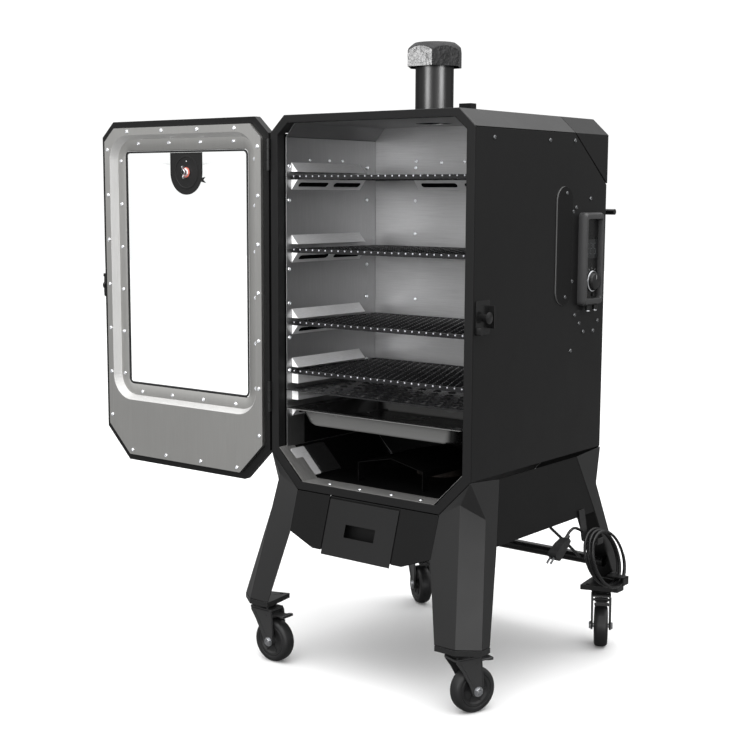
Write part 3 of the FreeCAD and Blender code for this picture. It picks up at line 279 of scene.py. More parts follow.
def build_materials():
    powder_coat("powder_coat", shade=0.0065, rough=0.42, spec=0.28)
    powder_coat("powder_coat_roof", shade=0.009, rough=0.36)
    powder_coat("powder_coat_leg", shade=0.009, rough=0.40)
    powder_coat("powder_coat_gloss", shade=0.008, rough=0.24, peel=0.00008)
    powder_coat("powder_coat_front", shade=0.010, rough=0.45, spec=0.28)
    powder_coat("powder_coat_shaded", shade=0.004, rough=0.5, spec=0.2)
    powder_coat("caster_paint", shade=0.028, rough=0.32, peel=0.00008, spec=0.6)
    powder_coat("controller_case_paint", shade=0.045, rough=0.42, peel=0.00006)
    powder_coat("stack_paint", shade=0.003, rough=0.30, peel=0.00004, spec=0.35)
    # near-black steel for the chamber's lower parts: painted shade under the pan and tray
    powder_coat("lower_chamber_shade_steel", shade=0.0025, rough=0.5, spec=0.12)
    # near-black sheets put behind slots and gaps as painted shade
    powder_coat("painted_shade_backing", shade=0.001, rough=0.8, spec=0.02)
    powder_coat("caster_race_paint", shade=0.01, rough=0.4, peel=0.00008)
    powder_coat("gauge_bracket_paint", shade=0.010, rough=0.5, peel=0.00006, spec=0.35)
    # name, shade, roughness, stretch, then optional traits
    for name, shade, rough, stretch, traits in (
        ("chamber_wall_steel", 0.27, 0.42, (900, 900, 14), dict(tint=(1, 1, 1.01))),
        ("chamber_back_steel", 0.42, 0.38, (14, 900, 900), dict(tint=(1, 1, 1.01))),
        ("guide_steel", 0.62, 0.36, (60, 60, 900), dict(tint=(1, 1, 1.01), metal=0.55)),
        ("door_liner_steel", 0.57, 0.40, (1100, 1100, 12),
         dict(tint=(1.0, 0.993, 0.965), vary=0.05)),
        ("door_recess_steel", 0.60, 0.45, (1100, 1100, 20),
         dict(tint=(1.0, 0.995, 0.98), metal=0.35)),
        ("guide_end_steel", 0.9, 0.5, (60, 60, 60), dict(metal=0.2)),
        ("sill_steel", 0.30, 0.42, (40, 900, 40),
         dict(tint=(1.0, 0.99, 0.97), vary=0.25, metal=0.8)),
        ("motor_steel", 0.5, 0.35, (300, 300, 300), {}),
    ):
        brushed(name, shade, rough, stretch, **traits)
    zinc("zinc_plate", shade=0.82, rough=0.2)
    zinc("zinc_plate_dull", shade=0.16, rough=0.4)
    zinc("zinc_nut", shade=0.5, rough=0.3)
    zinc("zinc_plate_bright", shade=0.92, rough=0.3)
    zinc("chrome_trim", shade=0.88, rough=0.12)
    porcelain("porcelain", shade=0.008)
    porcelain("porcelain_rack", shade=0.008)
    # light grey beads: a painted highlight on the racks' front bars
    porcelain("porcelain_bead_painted_highlight", shade=0.35)
    rubber("rubber", shade=0.012, rough=0.55, grain=700)
    rubber("tyre_polymer", shade=0.016, rough=0.42, grain=500)
    rubber("cord_jacket", shade=0.012, rough=0.28, grain=900)
    rubber("moulded_plastic", shade=0.010, rough=0.38, grain=1500)
    rubber("control_panel_face", shade=0.006, rough=0.3, grain=1500)
    speckled("display_digit", 900, (0.035, 0.038, 0.04), (0.05, 0.054, 0.056), rough=0.4)
    speckled("print_white", 1200, (0.42, 0.42, 0.42), (0.55, 0.55, 0.55), rough=0.5)
    speckled("lamp_lens", 900, (0.06, 0.012, 0.01), (0.09, 0.018, 0.014), rough=0.15, coat=0.8)
    speckled("dial_face", 200, (0.70, 0.70, 0.68), (0.78, 0.78, 0.76), rough=0.3, coat=0.5)
    mat = speckled("display_window", 40, (0.003, 0.0035, 0.004), (0.006, 0.007, 0.008),
                   color=(0.004, 0.005, 0.006), rough=0.08, coat=1.0, coat_rough=0.03)
    mat.bump(mat.noise(scale=90, detail=1), distance=0.00002, strength=0.3)
    mat = speckled("silicone_red", 300, (0.72, 0.17, 0.12), (0.86, 0.25, 0.19), detail=3,
                   rough=0.45, spec=0.4)
    mat.bump(mat.noise(scale=700, detail=2), distance=0.00006, strength=0.5)
    cover_plate_paint_rim_highlight()
    pan_enamel_painted_front_light()
    cast_iron()
    clear_glass()
    hammered_cap()


# ---------------------------------------------------------------------------------------
# outlines
# ---------------------------------------------------------------------------------------
def circle(cx, cy, radius, steps):
    angles = [2 * math.pi * k / steps for k in range(steps)]
    return [(cx + radius * math.cos(a), cy + radius * math.sin(a)) for a in angles]


def rounded(x0, y0, x1, y1, r, steps=6):
    """Rounded rectangle, counter-clockwise."""
    points = []
    corners = ((x1 - r, y0 + r, -90), (x1 - r, y1 - r, 0), (x0 + r, y1 - r, 90),
               (x0 + r, y0 + r, 180))
    for cx, cy, start in corners:
        for k in range(steps + 1):
            angle = math.radians(start + 90.0 * k / steps)
            points.append((cx + r * math.cos(angle), cy + r * math.sin(angle)))
    return points


def slot_outline(cx, cy, length, radius, steps):
    """Round-ended slot along the first axis."""
    half = length / 2 - radius
    points = []
    for end, start in ((1, -90), (-1, 90)):
        for k in range(steps + 1):
            angle = math.radians(start + 180.0 * k / steps)
            x = end * half + radius * math.cos(angle)
            points.append((cx + x, cy + radius * math.sin(angle)))
    return points


def fillet(points, radii, steps=5):
    """Rounds the corners of an outline; radii is one number or one for each corner."""
    out = []
    for i, point in enumerate(points):
        radius = radii[i] if isinstance(radii, (list, tuple)) else radii
        corner = Vector(point)
        back = Vector(points[i - 1]) - corner
        ahead = Vector(points[(i + 1) % len(points)]) - corner
        back_length, ahead_length = back.length, ahead.length
        if radius <= 0 or back_length < 1e-6 or ahead_length < 1e-6:
            out.append(tuple(corner))
            continue
        back, ahead = back / back_length, ahead / ahead_length
        angle = math.acos(max(-1, min(1, back.dot(ahead))))
        if angle > math.radians(176):
            out.append(tuple(corner))
            continue
        # shrink the radius where the neighbouring edges are too short for it
        cut = min(radius / math.tan(angle / 2), back_length * 0.48, ahead_length * 0.48)
        radius = cut * math.tan(angle / 2)
        centre = corner + (back + ahead).normalized() * (radius / math.sin(angle / 2))
        first, last = corner + back * cut - centre, corner + ahead * cut - centre
        start = math.atan2(first.y, first.x)
        sweep = math.atan2(last.y, last.x) - start
        while sweep > math.pi:
            sweep -= 2 * math.pi
        while sweep < -math.pi:
            sweep += 2 * math.pi
        for j in range(steps + 1):
            turn = start + sweep * j / steps
            out.append((centre.x + radius * math.cos(turn), centre.y + radius * math.sin(turn)))
    return out


def octagon(half, z0, z1, low_x, low_z, top_x, top_z):
    """Rectangle with its corners cut by low_x, low_z below and top_x, top_z above."""
    return [
        (-(half - low_x), z0), (half - low_x, z0), (half, z0 + low_z), (half, z1 - top_z),
        (half - top_x, z1), (-(half - top_x), z1), (-half, z1 - top_z), (-half, z0 + low_z),
    ]


# ---------------------------------------------------------------------------------------
# solids
# ---------------------------------------------------------------------------------------
# for each turning axis: the two directions across it, then its own
LATHE_AXES = {
    "x": (Vector((0, 1, 0)), Vector((0, 0, 1)), Vector((1, 0, 0))),
    "y": (Vector((0, 0, 1)), Vector((1, 0, 0)), Vector((0, 1, 0))),
    "z": (Vector((1, 0, 0)), Vector((0, 1, 0)), Vector((0, 0, 1))),
}


class Shape:
    """Collects closed solids; each takes the material last named with use()."""

    def __init__(self, *materials, place=None):
        self.verts, self.faces, self.slots = [], [], []
        self.materials = materials
        self.place = place
        self.slot = 0

    def use(self, material):
        self.slot = self.materials.index(material)

    def raw(self, verts, faces, place=None):
        first = len(self.verts)
        for point in verts:
            point = Vector(point)
            for matrix in (place, self.place):
                if matrix is not None:
                    point = matrix @ point
            self.verts.append(point)
        for face in faces:
            self.faces.append(tuple(i + first for i in face))
            self.slots.append(self.slot)

    def box(self, x0, x1, y0, y1, z0, z1, place=None):
        verts = [(x, y, z) for z in (z0, z1) for y in (y0, y1) for x in (x0, x1)]
        faces = [(0, 2, 3, 1), (4, 5, 7, 6), (0, 1, 5, 4), (2, 6, 7, 3), (0, 4, 6, 2), (1, 3, 7, 5)]
        self.raw(verts, faces, place)

    def plate(self, loops, origin, u, v, depth, place=None):
        """Extrudes an outline (first loop) with holes (other loops) by the vector depth."""
        origin, u, v, depth = Vector(origin), Vector(u), Vector(v), Vector(depth)
        triangles = tessellate_polygon([[Vector((a, b, 0)) for a, b in loop] for loop in loops])
        near = [origin + u * a + v * b for loop in loops for a, b in loop]
        count = len(near)
        faces = [tuple(t) for t in triangles]
        faces += [tuple(i + count for i in reversed(t)) for t in triangles]
        start = 0
        for loop in loops:
            for i in range(len(loop)):
                a, b = start + i, start + (i + 1) % len(loop)
                faces.append((a, b, count + b, count + a))
            start += len(loop)
        self.raw(near + [point + depth for point in near], faces, place)

    def slab(self, axis, at, thickness, *loops):
        """plate() square to an axis. Outlines are (y, z) on x, (x, z) on y, (x, y) on z."""
        x, y, z = (1, 0, 0), (0, 1, 0), (0, 0, 1)
        u, v, normal = {"x": (y, z, x), "y": (x, z, y), "z": (x, y, z)}[axis]
        self.plate(loops, Vector(normal) * at, u, v, Vector(normal) * thickness)

    def loft(self, rings, closed=False):
        """Skins rings of points; closed joins the last ring to the first."""
        n = len(rings[0])
        faces = []
        for k in range(len(rings) if closed else len(rings) - 1):
            a, b = k * n, ((k + 1) % len(rings)) * n
            for i in range(n):
                j = (i + 1) % n
                faces.append((a + i, a + j, b + j, b + i))
        if not closed:
            faces.append(tuple(range(n)))
            faces.append(tuple(reversed(range((len(rings) - 1) * n, len(rings) * n))))
        self.raw([point for ring in rings for point in ring], faces)

    def lathe(self, profile, centre, axis, steps, closed=False, ripple=None):
        """Turns (radius, along) points; ripple(angle, radius, along) may change the radius."""
        u, v, along = LATHE_AXES[axis]
        centre = Vector(centre)
        verts, faces, rows = [], [], []
        for radius, height in profile:
            if radius <= 1e-6:
                rows.append([len(verts)])
                verts.append(centre + along * height)
                continue
            rows.append(list(range(len(verts), len(verts) + steps)))
            for k in range(steps):
                a = 2 * math.pi * k / steps
                r = ripple(a, radius, height) if ripple else radius
                verts.append(
                    centre + u * (r * math.cos(a)) + v * (r * math.sin(a)) + along * height)
        pairs = list(zip(rows[:-1], rows[1:]))
        if closed:
            pairs.append((rows[-1], rows[0]))
        for a, b in pairs:
            if len(a) == 1 and len(b) == 1:
                continue
            for k in range(steps):
                j = (k + 1) % steps
                if len(a) == 1:
                    faces.append((a[0], b[j], b[k]))
                elif len(b) == 1:
                    faces.append((a[k], a[j], b[0]))
                else:
                    faces.append((a[k], a[j], b[j], b[k]))
        if not closed:
            if len(rows[0]) > 1:
                faces.append(tuple(reversed(rows[0])))
            if len(rows[-1]) > 1:
                faces.append(tuple(rows[-1]))
        self.raw(verts, faces)

    def sweep(self, path, radius, sides):
        """A round bar along a path; radius is one number or one for each point."""
        points = [Vector(p) for p in path]
        last = len(points) - 1
        tangents = [(points[min(i + 1, last)] - points[max(i - 1, 0)]).normalized()
                    for i in range(last + 1)]
        reference = Vector((0, 0, 1)) if abs(tangents[0].z) < 0.9 else Vector((1, 0, 0))
        side = tangents[0].cross(reference).normalized()
        rings = []
        for i, tangent in enumerate(tangents):
            if i:
                side = (tangents[i - 1].rotation_difference(tangent) @ side).normalized()
            up = side.cross(tangent).normalized()
            r = radius[i] if isinstance(radius, list) else radius
            rings.append([points[i] + side * a + up * b for a, b in circle(0, 0, r, sides)])
        self.loft(rings)

    def ball(self, centre, radius, squash=1.0, axis="z"):
        profile = []
        for k in range(6):
            angle = math.radians(-90 + 180 * k / 5)
            around = 0.0 if k in (0, 5) else radius * math.cos(angle)
            profile.append((around, radius * math.sin(angle) * squash))
        self.lathe(profile, centre, axis, 10)

    def make(self, name, body, slot, *replaces, bevel=0.0, segments=2, angle=32.0):
        """Turns the solids into an object that rides on a body."""
        mesh = bpy.data.meshes.new(name)
        mesh.from_pydata([tuple(p * MM) for p in self.verts], [], self.faces)
        for material in self.materials:
            mesh.materials.append(MATERIALS[material])
        mesh.polygons.foreach_set("material_index", self.slots)
        bm = bmesh.new()
        bm.from_mesh(mesh)
        bmesh.ops.recalc_face_normals(bm, faces=bm.faces[:])
        bm.to_mesh(mesh)
        bm.free()
        obj = bpy.data.objects.new(name, mesh)
        bpy.context.scene.collection.objects.link(obj)
        round_edges(obj, bevel, segments, angle)
        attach(obj, body)
        if replaces:
            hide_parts(*replaces)


def round_edges(obj, bevel, segments=2, angle=32.0):
    """Bevels edges sharper than angle, or marks them sharp where there is no bevel."""
    mesh = obj.data
    mesh.polygons.foreach_set("use_smooth", [True] * len(mesh.polygons))
    if bevel > 0:
        modifier = obj.modifiers.new("edges", "BEVEL")
        modifier.width = bevel * MM
        modifier.segments = segments
        modifier.limit_method = "ANGLE"
        modifier.angle_limit = math.radians(angle)
        modifier.harden_normals = True
        modifier.use_clamp_overlap = True
        modifier.miter_outer = "MITER_ARC"
    else:
        mesh.set_sharp_from_angle(angle=math.radians(angle))


# ---------------------------------------------------------------------------------------
# CAD nodes that stay visible: material, bevel width
# ---------------------------------------------------------------------------------------
LOOKS = {
    "front_frame": ("powder_coat_front", 1.1), "left_side_panel": ("powder_coat", 0.8),
    "right_side_panel": ("powder_coat", 0.8), "roof_panel": ("powder_coat_roof", 1.2),
    "rear_panel": ("powder_coat_leg", 0.8), "base_aprons": ("powder_coat_shaded", 0.8),
    "legs_and_feet": ("powder_coat_leg", 1.0), "hopper_lid": ("powder_coat", 0.9),
    "chimney_stack": ("stack_paint", 0.6), "rear_handle": ("powder_coat_gloss", 0.8),
    "rear_crossbar": ("powder_coat_gloss", 0.5), "door_panel": ("powder_coat", 1.0),
    "side_cover_plate": ("cover_plate_paint_rim_highlight", 1.1),
    "hinge_leaves_and_pins": ("powder_coat_gloss", 0.4),
    "door_hinge_leaves": ("powder_coat_gloss", 0.4), "flame_baffle": ("lower_chamber_shade_steel", 0.4),
    "lower_liner": ("lower_chamber_shade_steel", 0.5), "auger_tube": ("powder_coat_shaded", 0.6),
    "chamber_liner": ("chamber_wall_steel", 0.5),
    "chamber_back_liner": ("chamber_back_steel", 0.4),
    "hopper_bin": ("chamber_wall_steel", 0.5), "auger": ("zinc_plate", 0.3),
    "fire_pot": ("cast_iron", 0.8), "auger_motor": ("motor_steel", 1.5),
    "fan_housing": ("motor_steel", 0.8), "fan_impeller": ("motor_steel", 0.3),
    "chimney_cap": ("hammered_cap", 1.4), "grease_drawer": ("powder_coat_front", 0.9),
    "power_button": ("moulded_plastic", 0.5), "drip_tray": ("porcelain", 0.5),
}
SLOTS = {row["node"]: row["material_slot"] for row in frame["record"]["subparts"]}


def dress_cad_nodes():
    for name, (material, bevel) in LOOKS.items():
        obj = NODES[name]
        mesh = obj.data
        mesh.materials.clear()
        mesh.materials.append(MATERIALS[material])
        # stored normals would override the bevel's shading
        if "custom_normal" in mesh.attributes:
            mesh.attributes.remove(mesh.attributes["custom_normal"])
        obj.modifiers.new("seams", "WELD").merge_threshold = 0.00002
        round_edges(obj, bevel)


# ---------------------------------------------------------------------------------------
# screws
# ---------------------------------------------------------------------------------------
SCREW_RADIUS = 4.5
# radius, height between the arms of the cross, height on the arms; heights are shares
SCREW_RINGS = (
    (0.9, 0.98, 0.45), (1.9, 0.98, 0.45), (2.5, 1.0, 0.8), (3.6, 0.86, 0.86),
    (4.3, 0.5, 0.5), (4.5, 0.2, 0.2), (4.5, 0.0, 0.0),
)
# y, z on the +X side of the cabinet; the -X side has the first four and the last
SIDE_SCREWS = (
    (-196, 1150), (15, 1151), (118, 1153), (191, 1030), (129, 1011), (116, 1002),
    (116.5, 852), (132, 778), (152, 759), (171, 739), (215, 738), (235, 759), (118, 701),
)
# x, z on the chamber's back wall
BACK_SCREWS = (
    (-125, 1113), (-126.5, 1098), (-127, 1022.6), (-127, 947.5), (-125, 796.3),
    (-53.7, 1109), (9.2, 1111),
)


def screw(part, at, direction, radius=SCREW_RADIUS, height=2.4):
    """A pan head with a cross recess, turned to a random angle."""
    out = Vector(direction).normalized()
    u = out.orthogonal().normalized()
    v = out.cross(u)
    centre = Vector(at)
    n = 16
    spin = random.uniform(0, math.pi / 2)
    verts = [centre + out * (height * 0.45)]
    for ring, between, on_arm in SCREW_RINGS:
        for k in range(n):
            a = 2 * math.pi * k / n + spin
            share = on_arm if k % 4 == 0 else between
            across = (u * math.cos(a) + v * math.sin(a)) * (ring * radius / SCREW_RADIUS)
            verts.append(centre + across + out * (height * share))
    faces = [(0, 1 + k, 1 + (k + 1) % n) for k in range(n)]
    for q in range(len(SCREW_RINGS) - 1):
        a, b = 1 + q * n, 1 + (q + 1) * n
        for k in range(n):
            j = (k + 1) % n
            faces.append((a + k, b + k, b + j, a + j))
    a = 1 + (len(SCREW_RINGS) - 1) * n
    faces.append(tuple(a + k for k in range(n)))
    part.raw(verts, faces)


def cabinet_screws():
    part = Shape("zinc_plate_bright", "zinc_plate_dull")
    part.use("zinc_plate_dull")
    for y, z in SIDE_SCREWS:
        screw(part, (SIDE_X, y, z), (1, 0, 0))
    for y, z in SIDE_SCREWS[:4] + SIDE_SCREWS[-1:]:
        screw(part, (-SIDE_X, y, z), (-1, 0, 0))
    part.use("zinc_plate_bright")
    for z in (1098, 1024, 874, 799, 723, 650):
        for y in (-230, 43):
            for side in (-1, 1):
                screw(part, (side * WALL_X, y, z), (-side, 0, 0))
    for x in (-112, -28, 56, 132):
        screw(part, (x, -246, 412.95), (0, 0, 1), height=1.6)
    for x, z in BACK_SCREWS:
        screw(part, (x, BACK_Y, z), (0, -1, 0), radius=4, height=1.8)
    for y in (-160, -92.5, -46):
        screw(part, (-WALL_X, y, 1112), (1, 0, 0), radius=3.4, height=1.6)
    part.use("zinc_plate_dull")
    for z in (1042, 820):
        screw(part, (269.05, 84, z), (1, 0, 0), radius=4, height=2)
    part.make("cabinet_screw_heads", "cabinet", "zinc_steel", "cabinet_screws", angle=40)


def door_screws():
    """One frame of screws on the liner's flange and one round the window."""
    part = Shape("zinc_plate_bright", place=DOOR)
    # y, then the xs and zs of the rows, then xs, first z, pitch and count of the columns
    for y, row_xs, row_zs, column_xs, z0, pitch, count in (
        (-264.95, (-172, -57.3, 57.3, 172), (1181.5, 420), (-240.8, 240.8), 500.5, 106.6, 7),
        (-283.15, (-153, -51, 51, 153), (1154, 562.5), (-216.5, 213), 603.3, 102.1, 6),
    ):
        places = [(x, y, z) for x in row_xs for z in row_zs]
        places += [(x, y, z0 + k * pitch) for k in range(count) for x in column_xs]
        for place in places:
            screw(part, place, (0, 1, 0), height=1.9)
    part.make("door_screw_heads", "door", "zinc_steel", "door_screws", angle=40)


# ---------------------------------------------------------------------------------------
# door
# ---------------------------------------------------------------------------------------
# rings about the window opening: growth in x, growth in z, corner radius, y
RECESS_RINGS = (
    (36.2, 37.2, 58, -265.0), (34.6, 35.6, 57, -266.4), (28.6, 29.6, 52, -281.2),
    (26.4, 27.4, 50, -283.2), (25.4, 26.4, 49, -284.6), (30, 31, 53, -282.6),
    (37.6, 38.6, 59, -266.5),
)
LEDGE_RINGS = (
    (26.3, 27.3, 50, -283.2), (1.4, 1.4, 13.6, -283.2), (0.6, 0.6, 13, -283.7),
    (0.6, 0.6, 13, -284.6), (26.3, 27.3, 50, -284.6),
)
GASKET_RINGS = (
    (-0.7, -0.7, 12.6, -284.4), (-0.7, -0.7, 12.6, -282.2), (-1.8, -1.8, 11.6, -281.5),
    (-3.6, -3.6, 10.2, -281.5), (-4.9, -4.9, 9, -282.6), (-4.9, -4.9, 9, -284.4),
)


def window_band(part, rings):
    x0, z0, x1, z1 = WINDOW
    part.loft([
        [(x, y, z) for x, z in rounded(x0 - gx, z0 - gz, x1 + gx, z1 + gz, radius, 10)]
        for gx, gz, radius, y in rings
    ], closed=True)


def door_liner():
    """Flat flange with a turned rim, a deep rounded recess and a ledge round the window."""
    part = Shape("door_liner_steel", "door_recess_steel", place=DOOR)
    outer = fillet(octagon(250.5, 409.5, 1190, 70, 70, 33, 31), 5, 3)
    inner = fillet(octagon(249, 411, 1188.5, 69.2, 69.2, 32.4, 30.4), 4, 3)
    part.slab("y", FLANGE_Y, -1.5, outer, rounded(-233.2, 543.3, 233.2, 1173.7, 58, 10))
    part.slab("y", FLANGE_Y - 1.5, -8.3, outer, inner)
    part.use("door_recess_steel")
    window_band(part, RECESS_RINGS)
    part.use("door_liner_steel")
    window_band(part, LEDGE_RINGS)
    part.make("door_liner_pressed", "door", "brushed_stainless", "door_liner",
              bevel=0.4, angle=40)


def window():
    part = Shape("rubber", place=DOOR)
    window_band(part, GASKET_RINGS)
    part.make("window_gasket_seal", "door", "black_rubber", "window_gasket", angle=50)
    part = Shape("clear_glass", place=DOOR)
    hole = list(reversed(circle(DIAL_X, DIAL_Z, 7, 24)))
    part.slab("y", -288.6, 4.0, rounded(-207.8, 569.7, 207.8, 1147.3, 18, 6), hole)
    part.make("window_pane", "door", "clear_glass", "window_glass", bevel=0.6, angle=40)


def tongue(radius, top):
    """Flat top, half-round bottom about the dial's centre."""
    points = [(DIAL_X + radius, top), (DIAL_X - radius, top)]
    for k in range(33):
        a = math.radians(180 + 180 * k / 32)
        points.append((DIAL_X + radius * math.cos(a), DIAL_Z + radius * math.sin(a)))
    return points


def thermometer():
    """Bracket, dial with scale and hand, red washer and wing nut."""
    part = Shape("gauge_bracket_paint", "dial_face", "silicone_red", "zinc_plate_bright",
                 place=DOOR)
    bracket = tongue(51, 1131)
    part.slab("y", -284.2, 1.2, bracket, circle(DIAL_X, DIAL_Z, 5.2, 20))
    part.slab("y", -283.0, 0.5, bracket, tongue(48.6, 1129.4))
    tab = ((-45, 1073), (-60, 1075.4), (-54, 1069), (-62, 1061.6), (-45, 1065))
    part.slab("y", -284.2, 1.3, [(DIAL_X + x, z) for x, z in tab])
    part.lathe([(33.5, -283.1), (38.5, -283.1), (38.5, -282.4), (36.4, -281.7), (34.2, -282.2)],
               DIAL, "y", 48, closed=True)
    part.lathe([(5, -297), (5, -272), (4.2, -271), (0, -271)], DIAL, "y", 20)
    part.lathe([
        (36, -292), (36, -297.6), (34.8, -298.8), (33.2, -299.4), (31.4, -299.4),
        (30.6, -298.2), (30.6, -294), (0, -294), (0, -292)], DIAL, "y", 48)
    part.use("dial_face")
    part.lathe([(0, -295.8), (30.4, -295.8), (30.4, -296.4), (0, -296.4)], DIAL, "y", 48)
    # scale marks, with every fourth one longer and wider
    part.use("gauge_bracket_paint")
    for k in range(25):
        inner, half = (21.5, 0.7) if k % 4 == 0 else (24.5, 0.4)
        place = turned(DIAL, -135 + 270 * k / 24, "Y")
        part.box(-half, half, -297.0, -296.4, inner, 27.5, place)
    part.box(-0.9, 0.9, -297.6, -297.0, -6, 23, turned(DIAL, -60, "Y"))
    part.lathe([(0, -298.4), (3, -298.4), (3, -296.8), (0, -296.8)], DIAL, "y", 20)
    part.use("silicone_red")
    part.lathe([(5.2, -282.6), (11.4, -282.6), (12.0, -281.9), (11.6, -280.9), (5.2, -280.9)],
               DIAL, "y", 32, closed=True)
    part.use("zinc_plate_bright")
    part.lathe([
        (5.0, -280.9), (9.0, -280.9), (9.0, -279.8), (6.6, -278.6), (6.0, -272.2),
        (5.1, -271.4), (5.0, -271.4)], DIAL, "y", 24, closed=True)
    wing = fillet([
        (4.2, -3.0), (10.5, -2.6), (15.0, 1.0), (14.4, 6.4), (10.6, 6.6), (7.2, 4.2),
        (4.2, 3.6)], [0.5, 2.5, 3.0, 2.6, 1.4, 2.0, 0.5], 4)
    for degrees in (-84, 96):
        place = turned((DIAL_X, -276.9, DIAL_Z), degrees, "Y")
        part.plate([wing], (0, 0, -1.4), (1, 0, 0), (0, 1, 0), (0, 0, 2.8), place)
    part.ball((DIAL_X - 1.5, -282.6, 1111), 1.8, squash=0.6, axis="y")
    part.make("thermometer_assembly", "door", "gauge_steel", "thermometer",
              bevel=0.35, angle=38)


def latch_lever():
    """Lever with a finger grip, on the free edge of the door."""
    part = Shape("powder_coat_gloss", place=DOOR)
    part.slab("x", 269.0, 6.0, fillet([
        (-287.5, 789), (-276.5, 787), (-275.8, 800), (-277, 843), (-284, 844),
        (-287.5, 836)], [4, 4, 2, 2.4, 2.4, 3], 4))
    part.slab("x", 269.2, 5.6, fillet([
        (-282, 808), (-282, 822), (-322, 821.5), (-330, 822), (-337, 815), (-330, 808),
        (-322, 808.5)], [1, 1, 3, 4, 5, 4, 3], 4))
    part.lathe([(6, 266.2), (6, 269), (9, 269.2), (9, 276.0), (7.6, 277.2), (0, 277.2)],
               (0, -282, 815), "x", 28)
    part.lathe([(7, 268.6), (7.4, 270), (7.4, 275), (6.4, 276), (0, 276)],
               (0, -330, 815), "x", 24)
    part.slab("x", 268, 9, rounded(-284, 836, -276.5, 844, 1.5, 3))
    part.make("latch_lever", "door_latch", "powder_black", "door_latch", bevel=0.7, angle=38)


def latch_keeper():
    """Plate with a round post and two upright lips, on the cabinet's +X side."""
    part = Shape("powder_coat_gloss")
    part.slab("x", SIDE_X, 2.5, rounded(-256, 763, -206, 832, 5, 4))
    part.lathe([(8, 268.4), (8, 280.1), (12, 280.3), (12, 282.0), (11, 282.6), (0, 282.6)],
               (0, -228, 797), "x", 32)
    part.slab("x", 268, 13, fillet([(-210, 775), (-206.5, 775), (-206.5, 820), (-210, 820)],
                                   1.2, 3))
    part.slab("x", 268, 12, rounded(-256, 764, -247, 780, 3, 4))
    part.make("keeper_bracket", "cabinet", "powder_black", "latch_keeper",
              bevel=0.7, angle=38)


# ---------------------------------------------------------------------------------------
# racks, tray and pan
# ---------------------------------------------------------------------------------------
def rack(name, z):
    """Expanded metal in a flat frame whose underside is at z."""
    part = Shape("porcelain_rack", "porcelain_bead_painted_highlight")
    half, front, back, bar = 236.0, -225.0, 70.0, 4
    part.box(-half, half, front, front + bar, z, z + 9)
    part.box(-half, half, back - bar, back, z, z + 9)
    part.box(-half, -half + bar, front + bar, back - bar, z, z + 9)
    part.box(half - bar, half, front + bar, back - bar, z, z + 9)
    for k in range(3):
        y = front + (back - front) * (k + 1) / 4
        part.box(-half + 3, half - 3, y, y + bar, z, z + 4.2)

    # strands run front to back, zigzagging; neighbours mirror each other to form diamonds
    pitch, half_cell, inset = 9.0, 20.0, 2.0
    flat = 0.16  # share of each half cell, at either end, where a strand runs straight
    strand_x, strand_z, tilt = 1.15, 1.75, 0.75  # half width, half height, lean in radians
    knots = []
    y = front + inset
    while y < back - inset:
        knots.append(y)
        y += half_cell
    knots.append(back - inset)
    stations = []
    for a, b in zip(knots[:-1], knots[1:]):
        stations += [a, a + (b - a) * flat, a + (b - a) * 0.84]
    stations.append(knots[-1])
    for i in range(-25, 26):
        sign = 1 if i % 2 == 0 else -1
        path = []
        for y in stations:
            steps = (y - front - inset) / half_cell
            phase = steps % 2.0
            t = phase if phase <= 1 else 2 - phase
            t = max(0.0, min(1.0, (t - flat) / 0.68))
            offset = (t * 2 - 1) * sign * (pitch / 2 - 1.0)
            lift = 1.1 * math.cos(math.pi * steps) * sign
            path.append((pitch * i + offset, y, z + 6.2 + lift))
        rings = []
        for k, (px, py, pz) in enumerate(path):
            drift = path[min(k + 1, len(path) - 1)][0] - path[max(k - 1, 0)][0]
            lean = tilt if drift > 0 else (-tilt if drift < 0 else 0.0)
            cos, sin = math.cos(lean), math.sin(lean)
            rings.append([
                (px + a * cos - b * sin, py, pz + a * sin + b * cos) for a, b in (
                    (-strand_x, -strand_z), (strand_x, -strand_z),
                    (strand_x, strand_z), (-strand_x, strand_z))
            ])
        part.loft(rings)
    # beads along the front bar, coloured light grey as a painted highlight
    part.use("porcelain_bead_painted_highlight")
    for i in range(-13, 14):
        part.ball((2 * pitch * i, front + 1.0, z + 6.6), 2.2)
    part.make(name + "_expanded", name, "porcelain_black", name,
              bevel=0.35, segments=1, angle=40)


def drip_tray_rims():
    """Rolled rims round the tray's staggered holes."""
    part = Shape("porcelain")
    pitch = 40
    profile = [(8.2 + 1.5 * math.cos(math.radians(a)), 611.1 + 1.1 * math.sin(math.radians(a)))
               for a in range(0, 360, 45)]
    for row in range(7):
        y = -222 + pitch * row
        if y + 10 > 56:
            continue
        odd = row % 2
        for column in range(11 - odd):
            x = -200 + pitch * column + odd * pitch / 2
            part.lathe(profile, (x, y, 0), "z", 18, closed=True)
    part.make("drip_tray_rims", "drip_tray", "porcelain_black", angle=60)


# half width, front y, back y, z, corner radius; down the inside, then up the outside
PAN_RINGS = (
    (236, -254, 56, 568.3, 10), (236, -254, 56, 569.6, 10), (206, -237, 51, 569.6, 18),
    (204.5, -235.5, 49.5, 568.2, 18), (194.5, -226, 40, 538, 22),
    (190.5, -222.5, 36.5, 533.9, 22), (186, -218, 32, 533.4, 20), (2, -97, -93, 533.4, 1.0),
    (2, -97, -93, 532.0, 1.0), (187, -219, 33, 532.0, 20), (191.5, -223.5, 37.5, 532.5, 22),
    (196, -227.5, 41.5, 537.4, 22), (206, -237, 51, 566.8, 18),
    (207.5, -238.5, 52.5, 568.1, 18),
)


